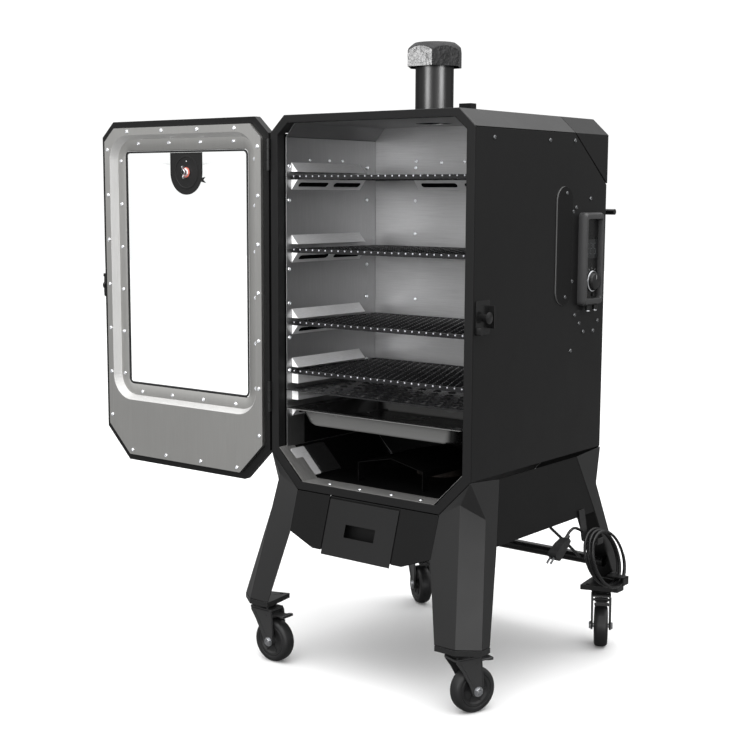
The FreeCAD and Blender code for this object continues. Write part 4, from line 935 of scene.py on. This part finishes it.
def water_pan():
    part = Shape("pan_enamel_painted_front_light")
    part.loft([[(x, y, z) for x, y in rounded(-half, front, half, back, radius)]
               for half, front, back, z, radius in PAN_RINGS], closed=True)
    # plug for the small hole the rings leave in the middle of the floor
    part.slab("z", 532.1, 1.2, rounded(-2.2, -97.2, 2.2, -92.8, 1.0, 3))
    part.make("water_pan_pressed", "water_pan", "porcelain_black", "water_pan",
              bevel=0.4, segments=1, angle=40)


# ---------------------------------------------------------------------------------------
# chamber sheet work
# ---------------------------------------------------------------------------------------
# kind of guide, then the top and bottom z of each level
GUIDES = (
    ("upper", ((1106, 1086), (949, 929), (786, 766), (677, 657))),
    ("lower", tuple(zip(RACK_SEATS[:3] + (567,), (1047, 888, 729, 547)))),
    ("box", ((RACK_SEATS[3], 621), (608, 584))),
)


def folded_guide(part, kind, top, bottom, length, origin, along, across):
    """Folded sheet along a wall: an upper guide slopes out downwards and is closed below,
    a lower one slopes back to the wall and is slotted, a box one is square."""
    origin, along, across, up = Vector(origin), Vector(along), Vector(across), Vector((0, 0, 1))
    depth, height, sheet = 18.0, top - bottom, 1.2
    run = math.hypot(depth, height)
    face = [(0, 0), (length, 0), (length, run), (0, run)]

    def shelf(z, thickness, trim):
        far, edge = length - 0.6, depth - trim
        outline = [(0.6, 0.3), (far, 0.3), (far, edge), (0.6, edge)]
        part.plate([outline], origin + up * z, along, across, up * thickness)

    part.use("guide_steel")
    if kind == "upper":
        slope = (across * depth - up * height) / run
        normal = (-across * height - up * depth) / run
        part.plate([face], origin + up * top, along, slope, normal * sheet)
        shelf(bottom, sheet, 2)
        end = [(0.1, top - 0.2), (depth - 0.1, bottom), (0.1, bottom)]
    elif kind == "lower":
        slope = (-across * depth - up * height) / run
        normal = (-across * height + up * depth) / run
        corner = origin + across * depth + up * top
        slots = [slot_outline((a + b) / 2, run / 2, b - a, 6.2, 6)
                 for a, b in ((14, 114), (134, 229))]
        part.plate([face] + slots, corner, along, slope, normal * sheet)
        shelf(top, -sheet, 2)
        # near-black sheet behind the slots, painted shade seen through them
        part.use("painted_shade_backing")
        backing = [(3, 3), (length - 3, 3), (length - 3, run * 0.8), (3, run * 0.8)]
        part.plate([backing], corner + normal * 2.4, along, slope, normal * 0.5)
        end = [(0.1, top), (depth - 0.1, top), (0.1, bottom + 0.2)]
    else:
        front = [(0, bottom), (length, bottom), (length, top), (0, top)]
        part.plate([front], origin + across * depth, along, up, -across * sheet)
        shelf(top, -sheet, 1)
        shelf(bottom, sheet, 1)
        end = [(0.1, bottom), (depth - 0.1, bottom), (depth - 0.1, top), (0.1, top)]
    part.use("guide_end_steel")
    part.plate([end], origin - along * 0.05, across, up, along * sheet)


def rack_guides():
    part = Shape("guide_steel", "painted_shade_backing", "guide_end_steel")
    for kind, levels in GUIDES:
        for top, bottom in levels:
            for side in (-1, 1):
                folded_guide(part, kind, top, bottom, 238.0,
                             (side * WALL_X, -222, 0), (0, 1, 0), (-side, 0, 0))
            if kind != "upper":
                folded_guide(part, kind, top, bottom, 236.0,
                             (-118, BACK_Y, 0), (1, 0, 0), (0, -1, 0))
    part.make("rack_guides_folded", "cabinet", SLOTS["rack_supports"], "rack_supports",
              bevel=0.35, segments=1, angle=40)


def opening_sill():
    """Bare strip along the lower edge of the opening."""
    part = Shape("sill_steel")
    upper = [(-245.1, 481.6), (-175.6, 412.9), (175.6, 412.9), (245.1, 481.6)]
    lower = [(-245.6, 481.1), (-175.9, 412.1), (175.9, 412.1), (245.6, 481.1)]
    section = upper + lower[::-1]
    part.loft([[(x, y, z) for x, z in section] for y in (-262.6, -214.0)])
    part.make("opening_sill", "cabinet", "brushed_stainless", bevel=0.2, segments=1, angle=30)


def wall_shade_sheets():
    """Near-black sheets on the lower part of the back and side walls, painted shade under the pan.
    """
    part = Shape("lower_chamber_shade_steel")
    part.slab("y", 75.2, 0.8, [
        (-236, 472), (-178, 415), (178, 415), (236, 472), (236, 545), (-236, 545)])
    for side in (-1, 1):
        near = min(side * 241.4, side * 242.2)
        part.slab("x", near, 0.8, rounded(-182, 481, 74, 545, 3, 4))
    part.make("lower_wall_shade_sheets", "cabinet", "powder_black", bevel=0.2, segments=1, angle=30)


def joint_shade_strips():
    """Dark strips behind the joint between the cabinet and the base, front and rear, painted shade
    that hides see-through gaps there.
    """
    part = Shape("painted_shade_backing")
    for x0, x1, z0 in ((-186, -98, 381), (-96.5, 93.5, 390.2), (95, 186, 381)):
        part.box(x0, x1, -261.6, -260.4, z0, 393.8)
    strip = ((191.1, 390.9), (262.1, 461.9), (257.2, 466.8), (186.2, 395.8))
    for side in (-1, 1):
        for y in (-261.6, 260.3):
            part.slab("y", y, 1.2, [(side * x, z) for x, z in strip])
    part.box(-190, 190, 260.3, 261.5, 388, 393.8)
    part.box(-186, 186, 260.4, 261.4, 381, 388.2)
    part.make("front_joint_shade_strips", "cabinet", "powder_black",
              bevel=0.2, segments=1, angle=30)


def grease_plates():
    """Two loose plates on each sloping side of the chamber floor."""
    part = Shape("powder_coat_gloss", "guide_steel")
    for side in (-1, 1):
        top = Vector((side * 240.2, 0, 474.4))
        slope = Vector((side * 183.6, 0, 416.4)) - top
        length = slope.length
        down = slope.normalized()
        normal = Vector((-side * abs(down.z), 0, abs(down.x)))
        for y0, y1, material in ((-236, -190, "guide_steel"), (-186, -120, "powder_coat_gloss")):
            part.use(material)
            part.plate([rounded(2, y0, length - 2, y1, 4, 4)], top + normal * 0.6,
                       down, (0, 1, 0), normal * 1.6)
    part.make("grease_plates", "cabinet", "powder_black", bevel=0.5, angle=38)


# ---------------------------------------------------------------------------------------
# controller
# ---------------------------------------------------------------------------------------
# y0, z0, y1, z1, corner radius, x; over the outside of the rim, then down its inside
CASE_RINGS = (
    (141, 798, 223, 1000, 9, SIDE_X), (141, 798, 223, 1000, 9, 279.5),
    (144.5, 801.5, 220.5, 996.5, 8, 285.2), (147, 805, 218, 992, 7, 286.1),
    (149.4, 811.4, 214.6, 986.6, 5, 286.1), (150, 812, 214, 986, 4.6, 285.2),
    (150.6, 812.6, 213.4, 985.4, 4.2, 274.4), (150.6, 812.6, 213.4, 985.4, 4.2, SIDE_X),
)
LIT_BARS = {"2": "abged", "5": "afgcd"}  # bars of a seven-bar digit, in building order


def digit(part, character, y, z, width=11, height=25, bar=2.0):
    """Seven-bar digit, read from the +X side."""
    right, top, middle = y + width, z + height, z + height / 2
    upper = (middle, top - bar / 2)
    lower = (z + bar / 2, middle)
    bars = {
        "a": (y + bar, right - bar, top - bar, top), "d": (y + bar, right - bar, z, z + bar),
        "g": (y + bar, right - bar, middle - bar / 2, middle + bar / 2),
        "f": (y, y + bar, *upper), "e": (y, y + bar, *lower),
        "b": (right - bar, right, *upper), "c": (right - bar, right, *lower),
    }
    for key in LIT_BARS[character]:
        part.box(276.15, 276.4, *bars[key])


def controller():
    """Raised rim, face, display with digits, knob scale and a lamp."""
    part = Shape("controller_case_paint", "display_window", "display_digit", "print_white",
                 "lamp_lens", "control_panel_face")
    part.loft([[(x, y, z) for y, z in rounded(y0, z0, y1, z1, radius)]
               for y0, z0, y1, z1, radius, x in CASE_RINGS], closed=True)
    part.use("control_panel_face")
    part.slab("x", 270.0, 4.1, rounded(150, 812, 214, 986, 4.5),
              circle(KNOB_Y, KNOB_Z, 3.05, 16), circle(195, 820, 4.0, 20))
    part.use("display_window")
    part.slab("x", 274.15, 2.0, rounded(155, 900, 208, 942, 3, 4))
    part.use("display_digit")
    for k, character in enumerate("225"):
        digit(part, character, 160 + 15.0 * k, 909)
    # scale marks about the knob, left out where they would run off the face
    part.use("print_white")
    outer = 29
    for k in range(11):
        degrees = -130 + 26 * k
        a = math.radians(degrees)
        if 816 < KNOB_Z + outer * math.cos(a) and abs(outer * math.sin(a)) < 22:
            place = turned((0, KNOB_Y, KNOB_Z), -degrees, "X")
            part.box(274.05, 274.4, -0.5, 0.5, 26.2, 29.5, place)
    part.use("lamp_lens")
    part.lathe([(3.1, 274.0), (3.1, 274.6), (2.4, 275.0), (1.4, 275.5), (0, 275.7)],
               (0, 168, 820.5), "x", 20)
    part.make("controller_case", "cabinet", "black_plastic", "controller_housing",
              bevel=0.4, angle=38)


def fluted(angle, radius, along):
    """Cuts 24 flutes into the knob's flank."""
    if 277.5 < along < 283.5 and radius > 15:
        return radius - 0.5 * (0.5 + 0.5 * math.cos(24 * angle))
    return radius


def control_knob():
    part = Shape("moulded_plastic", "chrome_trim", "print_white")
    centre = (0, KNOB_Y, KNOB_Z)
    part.lathe([(0, 270.6), (3, 270.6), (3, 275.2), (22.6, 275.2), (22.6, 277.2), (0, 277.2)],
               centre, "x", 48)
    part.lathe([
        (0, 276.6), (20.6, 276.6), (20.2, 278.0), (19.0, 282.4), (17.8, 284.4),
        (16.8, 285.5), (15.6, 286.0), (0, 286.0)], centre, "x", 96, ripple=fluted)
    part.use("chrome_trim")
    part.lathe([(23.5, 275.6), (23.5, 277.4), (22.6, 278.2), (20.9, 278.4), (20.9, 275.6)],
               centre, "x", 64, closed=True)
    part.use("print_white")
    part.box(285.9, 286.3, KNOB_Y - 0.7, KNOB_Y + 0.7, KNOB_Z + 4, KNOB_Z + 14)
    part.make("knob_dial", "control_knob", "black_plastic", "control_knob",
              bevel=0.25, angle=40)


def probe_sockets():
    part = Shape("moulded_plastic", "zinc_plate_bright")
    # outer radius, bottom z, top z
    pieces = (("moulded_plastic", 5.5, 787, 797.7), ("zinc_plate_bright", 4.7, 784, 787.1))
    for y in (172, 203):
        for material, outer, z0, z1 in pieces:
            part.use(material)
            part.lathe([(1.8, z0), (outer - 0.5, z0), (outer, z0 + 0.5), (outer, z1), (1.8, z1)],
                       (276, y, 0), "z", 28, closed=True)
    part.make("probe_sockets", "cabinet", "black_plastic", "probe_jacks", bevel=0.2, angle=38)


# ---------------------------------------------------------------------------------------
# power cord
# ---------------------------------------------------------------------------------------
CORD_RADIUS = 3.2
# half width in y, half height in z, shift in y at the start of each turn of the coil
COIL_TURNS = ((70, 66, 0), (58, 63, 5), (66, 66, -3), (50, 60, 4), (68, 66, 0), (62, 64, -2))


def coil_path():
    """Uneven turns that drift outwards in x and lean with height."""
    steps, coil_z = 44, 232
    turns = len(COIL_TURNS) - 1
    path = []
    for i in range(turns * steps + 1):
        a = 2 * math.pi * i / steps
        wobble = 1.2 * math.sin(a * 0.37 + 1.1)
        turn = i / steps
        k = min(int(turn), turns - 1)
        mix = turn - k
        mix = mix * mix * (3 - 2 * mix)
        half_y, half_z, shift = [
            p * (1 - mix) + q * mix for p, q in zip(COIL_TURNS[k], COIL_TURNS[k + 1])]
        z = coil_z + (half_z + wobble) * math.sin(a)
        y = 184 + shift + (half_y + wobble) * math.cos(a) - 0.25 * half_z * math.sin(a)
        path.append((317 + 5 * turn + 0.19 * (coil_z - z), y, z))
    return path


def smooth_curve(points, steps=10):
    """A smooth curve through the points."""
    points = [Vector(p) for p in points]
    last = len(points) - 1
    out = []
    for i in range(last):
        a, b = points[max(i - 1, 0)], points[i]
        c, d = points[i + 1], points[min(i + 2, last)]
        for j in range(steps):
            t = j / steps
            out.append(0.5 * ((2 * b) + (c - a) * t + (2 * a - 5 * b + 4 * c - d) * t * t
                              + (3 * b - a - 3 * c + d) * t ** 3))
    out.append(points[-1])
    return out


def power_cord():
    """The coil, its plug, the lead to the lower inlet and the hanger round the coil."""
    part = Shape("cord_jacket", "moulded_plastic", "zinc_nut")
    part.sweep(coil_path(), CORD_RADIUS, 10)
    for points in (
        ((319, 26, 309), (315, 50, 319), (308, 84, 318), (303.2, 126, 302)),
        ((279, 8, 345), (284, 17, 330), (292, 36, 311), (304, 66, 282), (312, 99, 252)),
    ):
        part.sweep(smooth_curve(points), CORD_RADIUS, 10)
    part.use("moulded_plastic")
    part.slab("x", 311, 20, fillet([
        (20, 312), (-8, 304), (-40, 286), (-18, 268), (6, 284), (28, 304)],
        [3, 8, 7, 7, 8, 3], 5))
    part.sweep([(320, 18, 303), (320.4, 27, 309), (320.2, 34, 312.5)], [6.6, 5.4, 4.2], 14)
    part.lathe([(0, -4), (9, -4), (9, 3), (6.2, 5.2), (5.2, 9), (0, 9)],
               (274.5, 2, 349), "x", 24)
    # plug blades
    part.use("zinc_nut")
    for x in (316, 325):
        part.plate([[(0, -1), (17, -1), (17, 1), (0, 1)]], (x, -30.5, 276.5),
                   (0, -0.82, -0.57), (1, 0, 0), (0, -2.9, 4.1))
    # hanger arms
    part.use("moulded_plastic")
    part.slab("y", 128, 24, fillet([
        (289.4, 346), (291.9, 346), (302.4, 282), (338, 277.5), (339, 290), (341.5, 290),
        (340.2, 274.6), (299.8, 279.4)], [0.5, 0.5, 2.5, 2, 0.6, 0.6, 3, 3], 4))
    for x0, z0, x1, depth in ((315, 184, 362, 24), (359.5, 168, 362, 24), (315, 184, 320, 50)):
        part.slab("y", 212, depth, rounded(x0, z0, x1, 186.5, 0.6, 2))
    part.make("power_cord_coil", "cabinet", "black_rubber", "power_cord", bevel=0.5, angle=45)


# ---------------------------------------------------------------------------------------
# casters, drawn about their swivel axis with the wheel trailing to +X
# ---------------------------------------------------------------------------------------
AXLE = (28, 0, 48)
BRAKE_PIN = (24, 0, 108)
AXLE_HOLE = 5.06
CASTERS = (  # tag, side in x, side in y, swivel in degrees
    ("fl", -1, -1, 0.0), ("fr", 1, -1, 68.3), ("rl", -1, 1, -34.3), ("rr", 1, 1, -60.0),
)
# radius, half width; from the bore over the hub, web and rim to the tread
WHEEL_PROFILE = (
    (AXLE_HOLE, 16.2), (10.4, 16.2), (11.2, 15.4), (12.0, 10.8), (14.0, 9.8), (25.0, 9.8),
    (27.0, 10.8), (29.0, 13.2), (33.6, 13.8), (34.4, 13.2), (35.2, 13.2), (36.0, 14.6),
    (38.0, 15.3), (42.0, 15.0), (45.2, 13.2), (47.2, 9.6), (48.0, 4.6),
)


def caster_wheel(tag, place):
    part = Shape("tyre_polymer", place=place)
    profile = [(r, -half) for r, half in WHEEL_PROFILE] + list(reversed(WHEEL_PROFILE))
    part.lathe(profile, AXLE, "y", 80, closed=True)
    for k in range(6):
        spoke = turned(AXLE, 60 * k, "Y")
        for y0, y1 in ((-11.6, -9.4), (9.4, 11.6)):
            part.box(11.8, 28.6, y0, y1, -1.3, 1.3, spoke)
    part.make("wheel_" + tag, "caster_wheel_" + tag, "caster_polymer", "caster_wheel_" + tag,
              angle=35)


def caster_fork(tag, place):
    """Bridge with two pressed side plates, ball race, axle and nuts."""
    part = Shape("caster_paint", "zinc_nut", "caster_race_paint", place=place)
    side = fillet([(-28, 119), (36, 119), (41, 70), (39, 38), (17, 38), (8, 62), (-10, 94)],
                  [4, 5, 16, 11, 11, 18, 16], 6)
    for y in (-22.0, 18.5):
        part.slab("y", y, 3.5, side, circle(28, 48, AXLE_HOLE, 24), circle(24, 108, 3.06, 16))
    part.slab("z", 117.4, 4.2, rounded(-28, -22, 36, 22, 5, 5))
    # raised crease and edge lip on each side plate
    crease = fillet([
        (-16, 114), (-13, 114), (2, 92), (17, 66), (22.5, 60.5), (19.5, 58.5), (14, 63.5),
        (-1, 90)], [0.8, 0.8, 6, 6, 0.8, 0.8, 6, 6], 3)
    lip = fillet([(33.5, 117), (35.3, 117), (40.0, 70), (38.6, 47), (36.8, 47), (38.2, 70)],
                 [0.7, 0.7, 10, 0.7, 0.7, 10], 3)
    for y in (-22.9, 21.9):
        part.slab("y", y, 1.0, crease)
        part.slab("y", y, 1.0, lip)
    part.use("caster_race_paint")
    part.lathe([
        (0, 121.4), (20.5, 121.4), (23.0, 122.2), (24.0, 123.6), (24.0, 125.4), (21.6, 126.2),
        (21.6, 127.0), (24.0, 127.8), (24.0, 130.6), (23.2, 131.6), (0, 131.6)],
        (0, 0, 0), "z", 44)
    part.use("zinc_nut")
    part.lathe([
        (0, -27.0), (3.6, -27.0), (4.8, -25.6), (5.0, -24.0), (5.0, 24.0), (4.8, 25.6),
        (3.6, 27.0), (0, 27.0)], AXLE, "y", 24)
    # six-sided nuts, then washers
    for a, b in ((-27.2, -22.1), (22.1, 27.2)):
        part.lathe([(5.0, a), (7.7, a), (8.5, a + 0.8), (8.5, b - 0.8), (7.7, b), (5.0, b)],
                   AXLE, "y", 6, closed=True)
    for a, b in ((-23.3, -22.0), (22.0, 23.3)):
        part.lathe([(5.0, a), (10.4, a), (10.4, b), (5.0, b)], AXLE, "y", 32, closed=True)
    for k in range(4):
        a = math.radians(45 + 90 * k)
        part.ball((25.0 * math.cos(a), 19.0 * math.sin(a), 121.3), 2.6, squash=0.55)
    part.make("fork_" + tag, "caster_fork_" + tag, "caster_steel", "caster_fork_" + tag,
              bevel=0.5, angle=38)


# x, half width, bottom z, top z
PEDAL_RINGS = (
    (26, 12, 106.0, 110.0), (40, 12.4, 106.1, 109.9), (52, 13, 106.1, 110.0),
    (58, 16.0, 106.1, 111.0), (63, 17, 106.1, 112), (67.4, 16.8, 106.1, 112),
    (68, 16.2, 106.4, 111.6),
)


def caster_pedal(tag, place):
    """Brake pedal on its pin, with three ribs across the tread."""
    part = Shape("caster_paint", place=place)
    part.lathe([
        (0, -21.5), (2.98, -21.5), (2.98, -15), (5.5, -15), (5.5, 15), (2.98, 15),
        (2.98, 21.5), (0, 21.5)], BRAKE_PIN, "y", 24)
    part.loft([[(x, y, z) for y, z in rounded(-half, z0, half, z1, 1.2, 3)]
               for x, half, z0, z1 in PEDAL_RINGS])
    for k in range(3):
        part.box(59.6 + 2.8 * k, 60.9 + 2.8 * k, -12.5, 12.5, 111.4, 112.3)
    part.make("pedal_" + tag, "caster_brake_" + tag, "caster_steel", "caster_brake_" + tag,
              bevel=0.4, angle=38)


# ---------------------------------------------------------------------------------------
# stage
# ---------------------------------------------------------------------------------------
FILL_RECEIVERS = (
    "chamber_liner", "chamber_back_liner", "rack_guides_folded", "cabinet_screw_heads",
    "door_screw_heads", "water_pan_pressed", "opening_sill", "grease_plates", "drip_tray",
    "rack_1_expanded", "rack_2_expanded", "rack_3_expanded", "rack_4_expanded",
)
# name, location, target, size, watts, the only objects it lights (none named: all)
LIGHTS = (
    ("top_softbox", (0.3, -0.3, 3.4), (0, 0, 0.6), (3.2, 3.2), 70, ()),
    ("front_softbox", (0.4, -4.0, 1.3), (0, 0, 0.75), (2.4, 2.0), 32, ()),
    ("chamber_fill", (0.5, -2.6, 1.35), (0, 0, 0.8), (1.5, 1.2), 68, FILL_RECEIVERS),
    ("stack_strip_left", (-0.32, -3.0, 1.35), (0, 0, 1.26), (1.2, 1.6), 110,
     ("chimney_stack",)),
    ("stack_strip_right", (2.95, -0.65, 1.35), (0, 0, 1.26), (1.2, 1.6), 130,
     ("chimney_stack",)),
    ("cap_kicker", (-1.7, -2.4, 1.5), (0, 0, 1.34), (1.0, 1.0), 46, ("chimney_cap",)),
)
# direction, start and end of its share along the view, strength at the start and the end
WORLD_GLOWS = (
    ((0, 0, 1), 0.15, 0.9, 0.16, 1.7),
    ((-0.75, -0.62, 0.35), 0.80, 0.99, 0.0, 0.35),
    ((0.80, -0.55, 0.20), 0.86, 0.985, 0.0, 1.7),
    ((0.0, -1, 0.1), 0.1, 0.9, 0.0, 0.25),
    ((0.75, 0.62, 0.3), 0.86, 0.99, 0.0, 0.5),
)


def studio_floor():
    """White to the camera, but dim to all other rays so it bounces little light."""
    half = 14.0
    mesh = bpy.data.meshes.new("studio_floor")
    corners = [(-half, -half, 0), (half, -half, 0), (half, half, 0), (-half, half, 0)]
    mesh.from_pydata(corners, [], [(0, 1, 2, 3)])
    floor = bpy.data.objects.new("studio_floor", mesh)
    bpy.context.scene.collection.objects.link(floor)
    mat = speckled("studio_floor_paint", 0.7, (0.92, 0.92, 0.92), (0.94, 0.94, 0.94),
                   color=(0.93, 0.93, 0.93), rough=0.9, spec=0.1)
    dim = mat.node("BsdfDiffuse", {"Color": (0.20, 0.20, 0.20, 1)})
    rays = mat.node("LightPath", {})
    mat.surface(mat.node("MixShader", {
        "Fac": rays.outputs["Is Camera Ray"], 1: dim.outputs[0], 2: mat.shader.outputs[0]}))
    mesh.materials.append(mat.data)


def studio_world():
    """Plain white to the camera; soft glows from a few directions to all other rays."""
    world = bpy.data.worlds.new("studio")
    bpy.context.scene.world = world
    world.use_nodes = True
    tree = world.node_tree
    tree.nodes.clear()
    output = add_node(tree, "OutputWorld", {})
    white = (1, 1, 1, 1)
    seen = add_node(tree, "Background", {"Color": white, "Strength": 1.06})
    coord = add_node(tree, "TexCoord", {})
    total = None
    for direction, start, end, low, high in WORLD_GLOWS:
        inputs = {0: coord.outputs["Generated"], 1: Vector(direction).normalized()}
        dot = add_node(tree, "VectorMath", inputs, operation="DOT_PRODUCT")
        glow = map_range(tree, dot.outputs["Value"], start, end, low, high,
                         interpolation_type="SMOOTHSTEP")
        if total is None:
            total = glow
        else:
            total = add_node(tree, "Math", {0: total, 1: glow}, operation="ADD").outputs[0]
    lit = add_node(tree, "Background", {"Color": white, "Strength": total})
    rays = add_node(tree, "LightPath", {})
    mix = add_node(tree, "MixShader", {
        "Fac": rays.outputs["Is Camera Ray"], 1: lit.outputs[0], 2: seen.outputs[0]})
    tree.links.new(mix.outputs[0], output.inputs["Surface"])


def area_light(name, location, target, size, watts, receivers):
    data = bpy.data.lights.new(name, "AREA")
    data.shape = "RECTANGLE"
    data.size, data.size_y = size
    data.energy = watts
    light = bpy.data.objects.new(name, data)
    bpy.context.scene.collection.objects.link(light)
    light.location = location
    aim = Vector(target) - Vector(location)
    light.rotation_euler = aim.to_track_quat("-Z", "Y").to_euler()
    if receivers:
        group = bpy.data.collections.new(name + "_receivers")
        for key in receivers:
            group.objects.link(NODES[key] if key in NODES else bpy.data.objects[key])
        light.light_linking.receiver_collection = group


def camera():
    yaw, pitch, roll = (math.radians(a) for a in (38.62, 7.52, 0.2075))
    forward = Vector((-math.sin(yaw) * math.cos(pitch), math.cos(yaw) * math.cos(pitch),
                      -math.sin(pitch)))
    level = Vector((math.cos(yaw), math.sin(yaw), 0))
    upright = level.cross(forward)
    right = level * math.cos(roll) + upright * math.sin(roll)
    up = upright * math.cos(roll) - level * math.sin(roll)
    data = bpy.data.cameras.new("photo_camera")
    data.lens = 65.13
    data.sensor_width = 36.0
    data.shift_x = 0.0195
    data.shift_y = -0.0055
    data.clip_start = 0.05
    data.clip_end = 60
    obj = bpy.data.objects.new("photo_camera", data)
    bpy.context.scene.collection.objects.link(obj)
    rotation = Matrix((right, up, -forward)).transposed().to_4x4()
    obj.matrix_world = Matrix.Translation((1.7537, -2.4727, 1.0415)) @ rotation
    bpy.context.scene.camera = obj


build_materials()
dress_cad_nodes()
cabinet_screws()
door_screws()
door_liner()
window()
thermometer()
latch_lever()
latch_keeper()
for number, seat in enumerate(RACK_SEATS, 1):
    rack("rack_%d" % number, seat + 0.4)
drip_tray_rims()
water_pan()
rack_guides()
opening_sill()
wall_shade_sheets()
joint_shade_strips()
controller()
control_knob()
probe_sockets()
power_cord()
for tag, side_x, side_y, swivel in CASTERS:
    placement = turned((side_x * 266.0, side_y * 288.0, 0), swivel, "Z")
    caster_wheel(tag, placement)
    caster_fork(tag, placement)
    caster_pedal(tag, placement)
grease_plates()
studio_floor()
studio_world()
for row in LIGHTS:
    area_light(*row)
camera()

view = bpy.context.scene.view_settings
view.view_transform = "Standard"
view.look = "None"
view.exposure = 0.0
view.gamma = 1.0
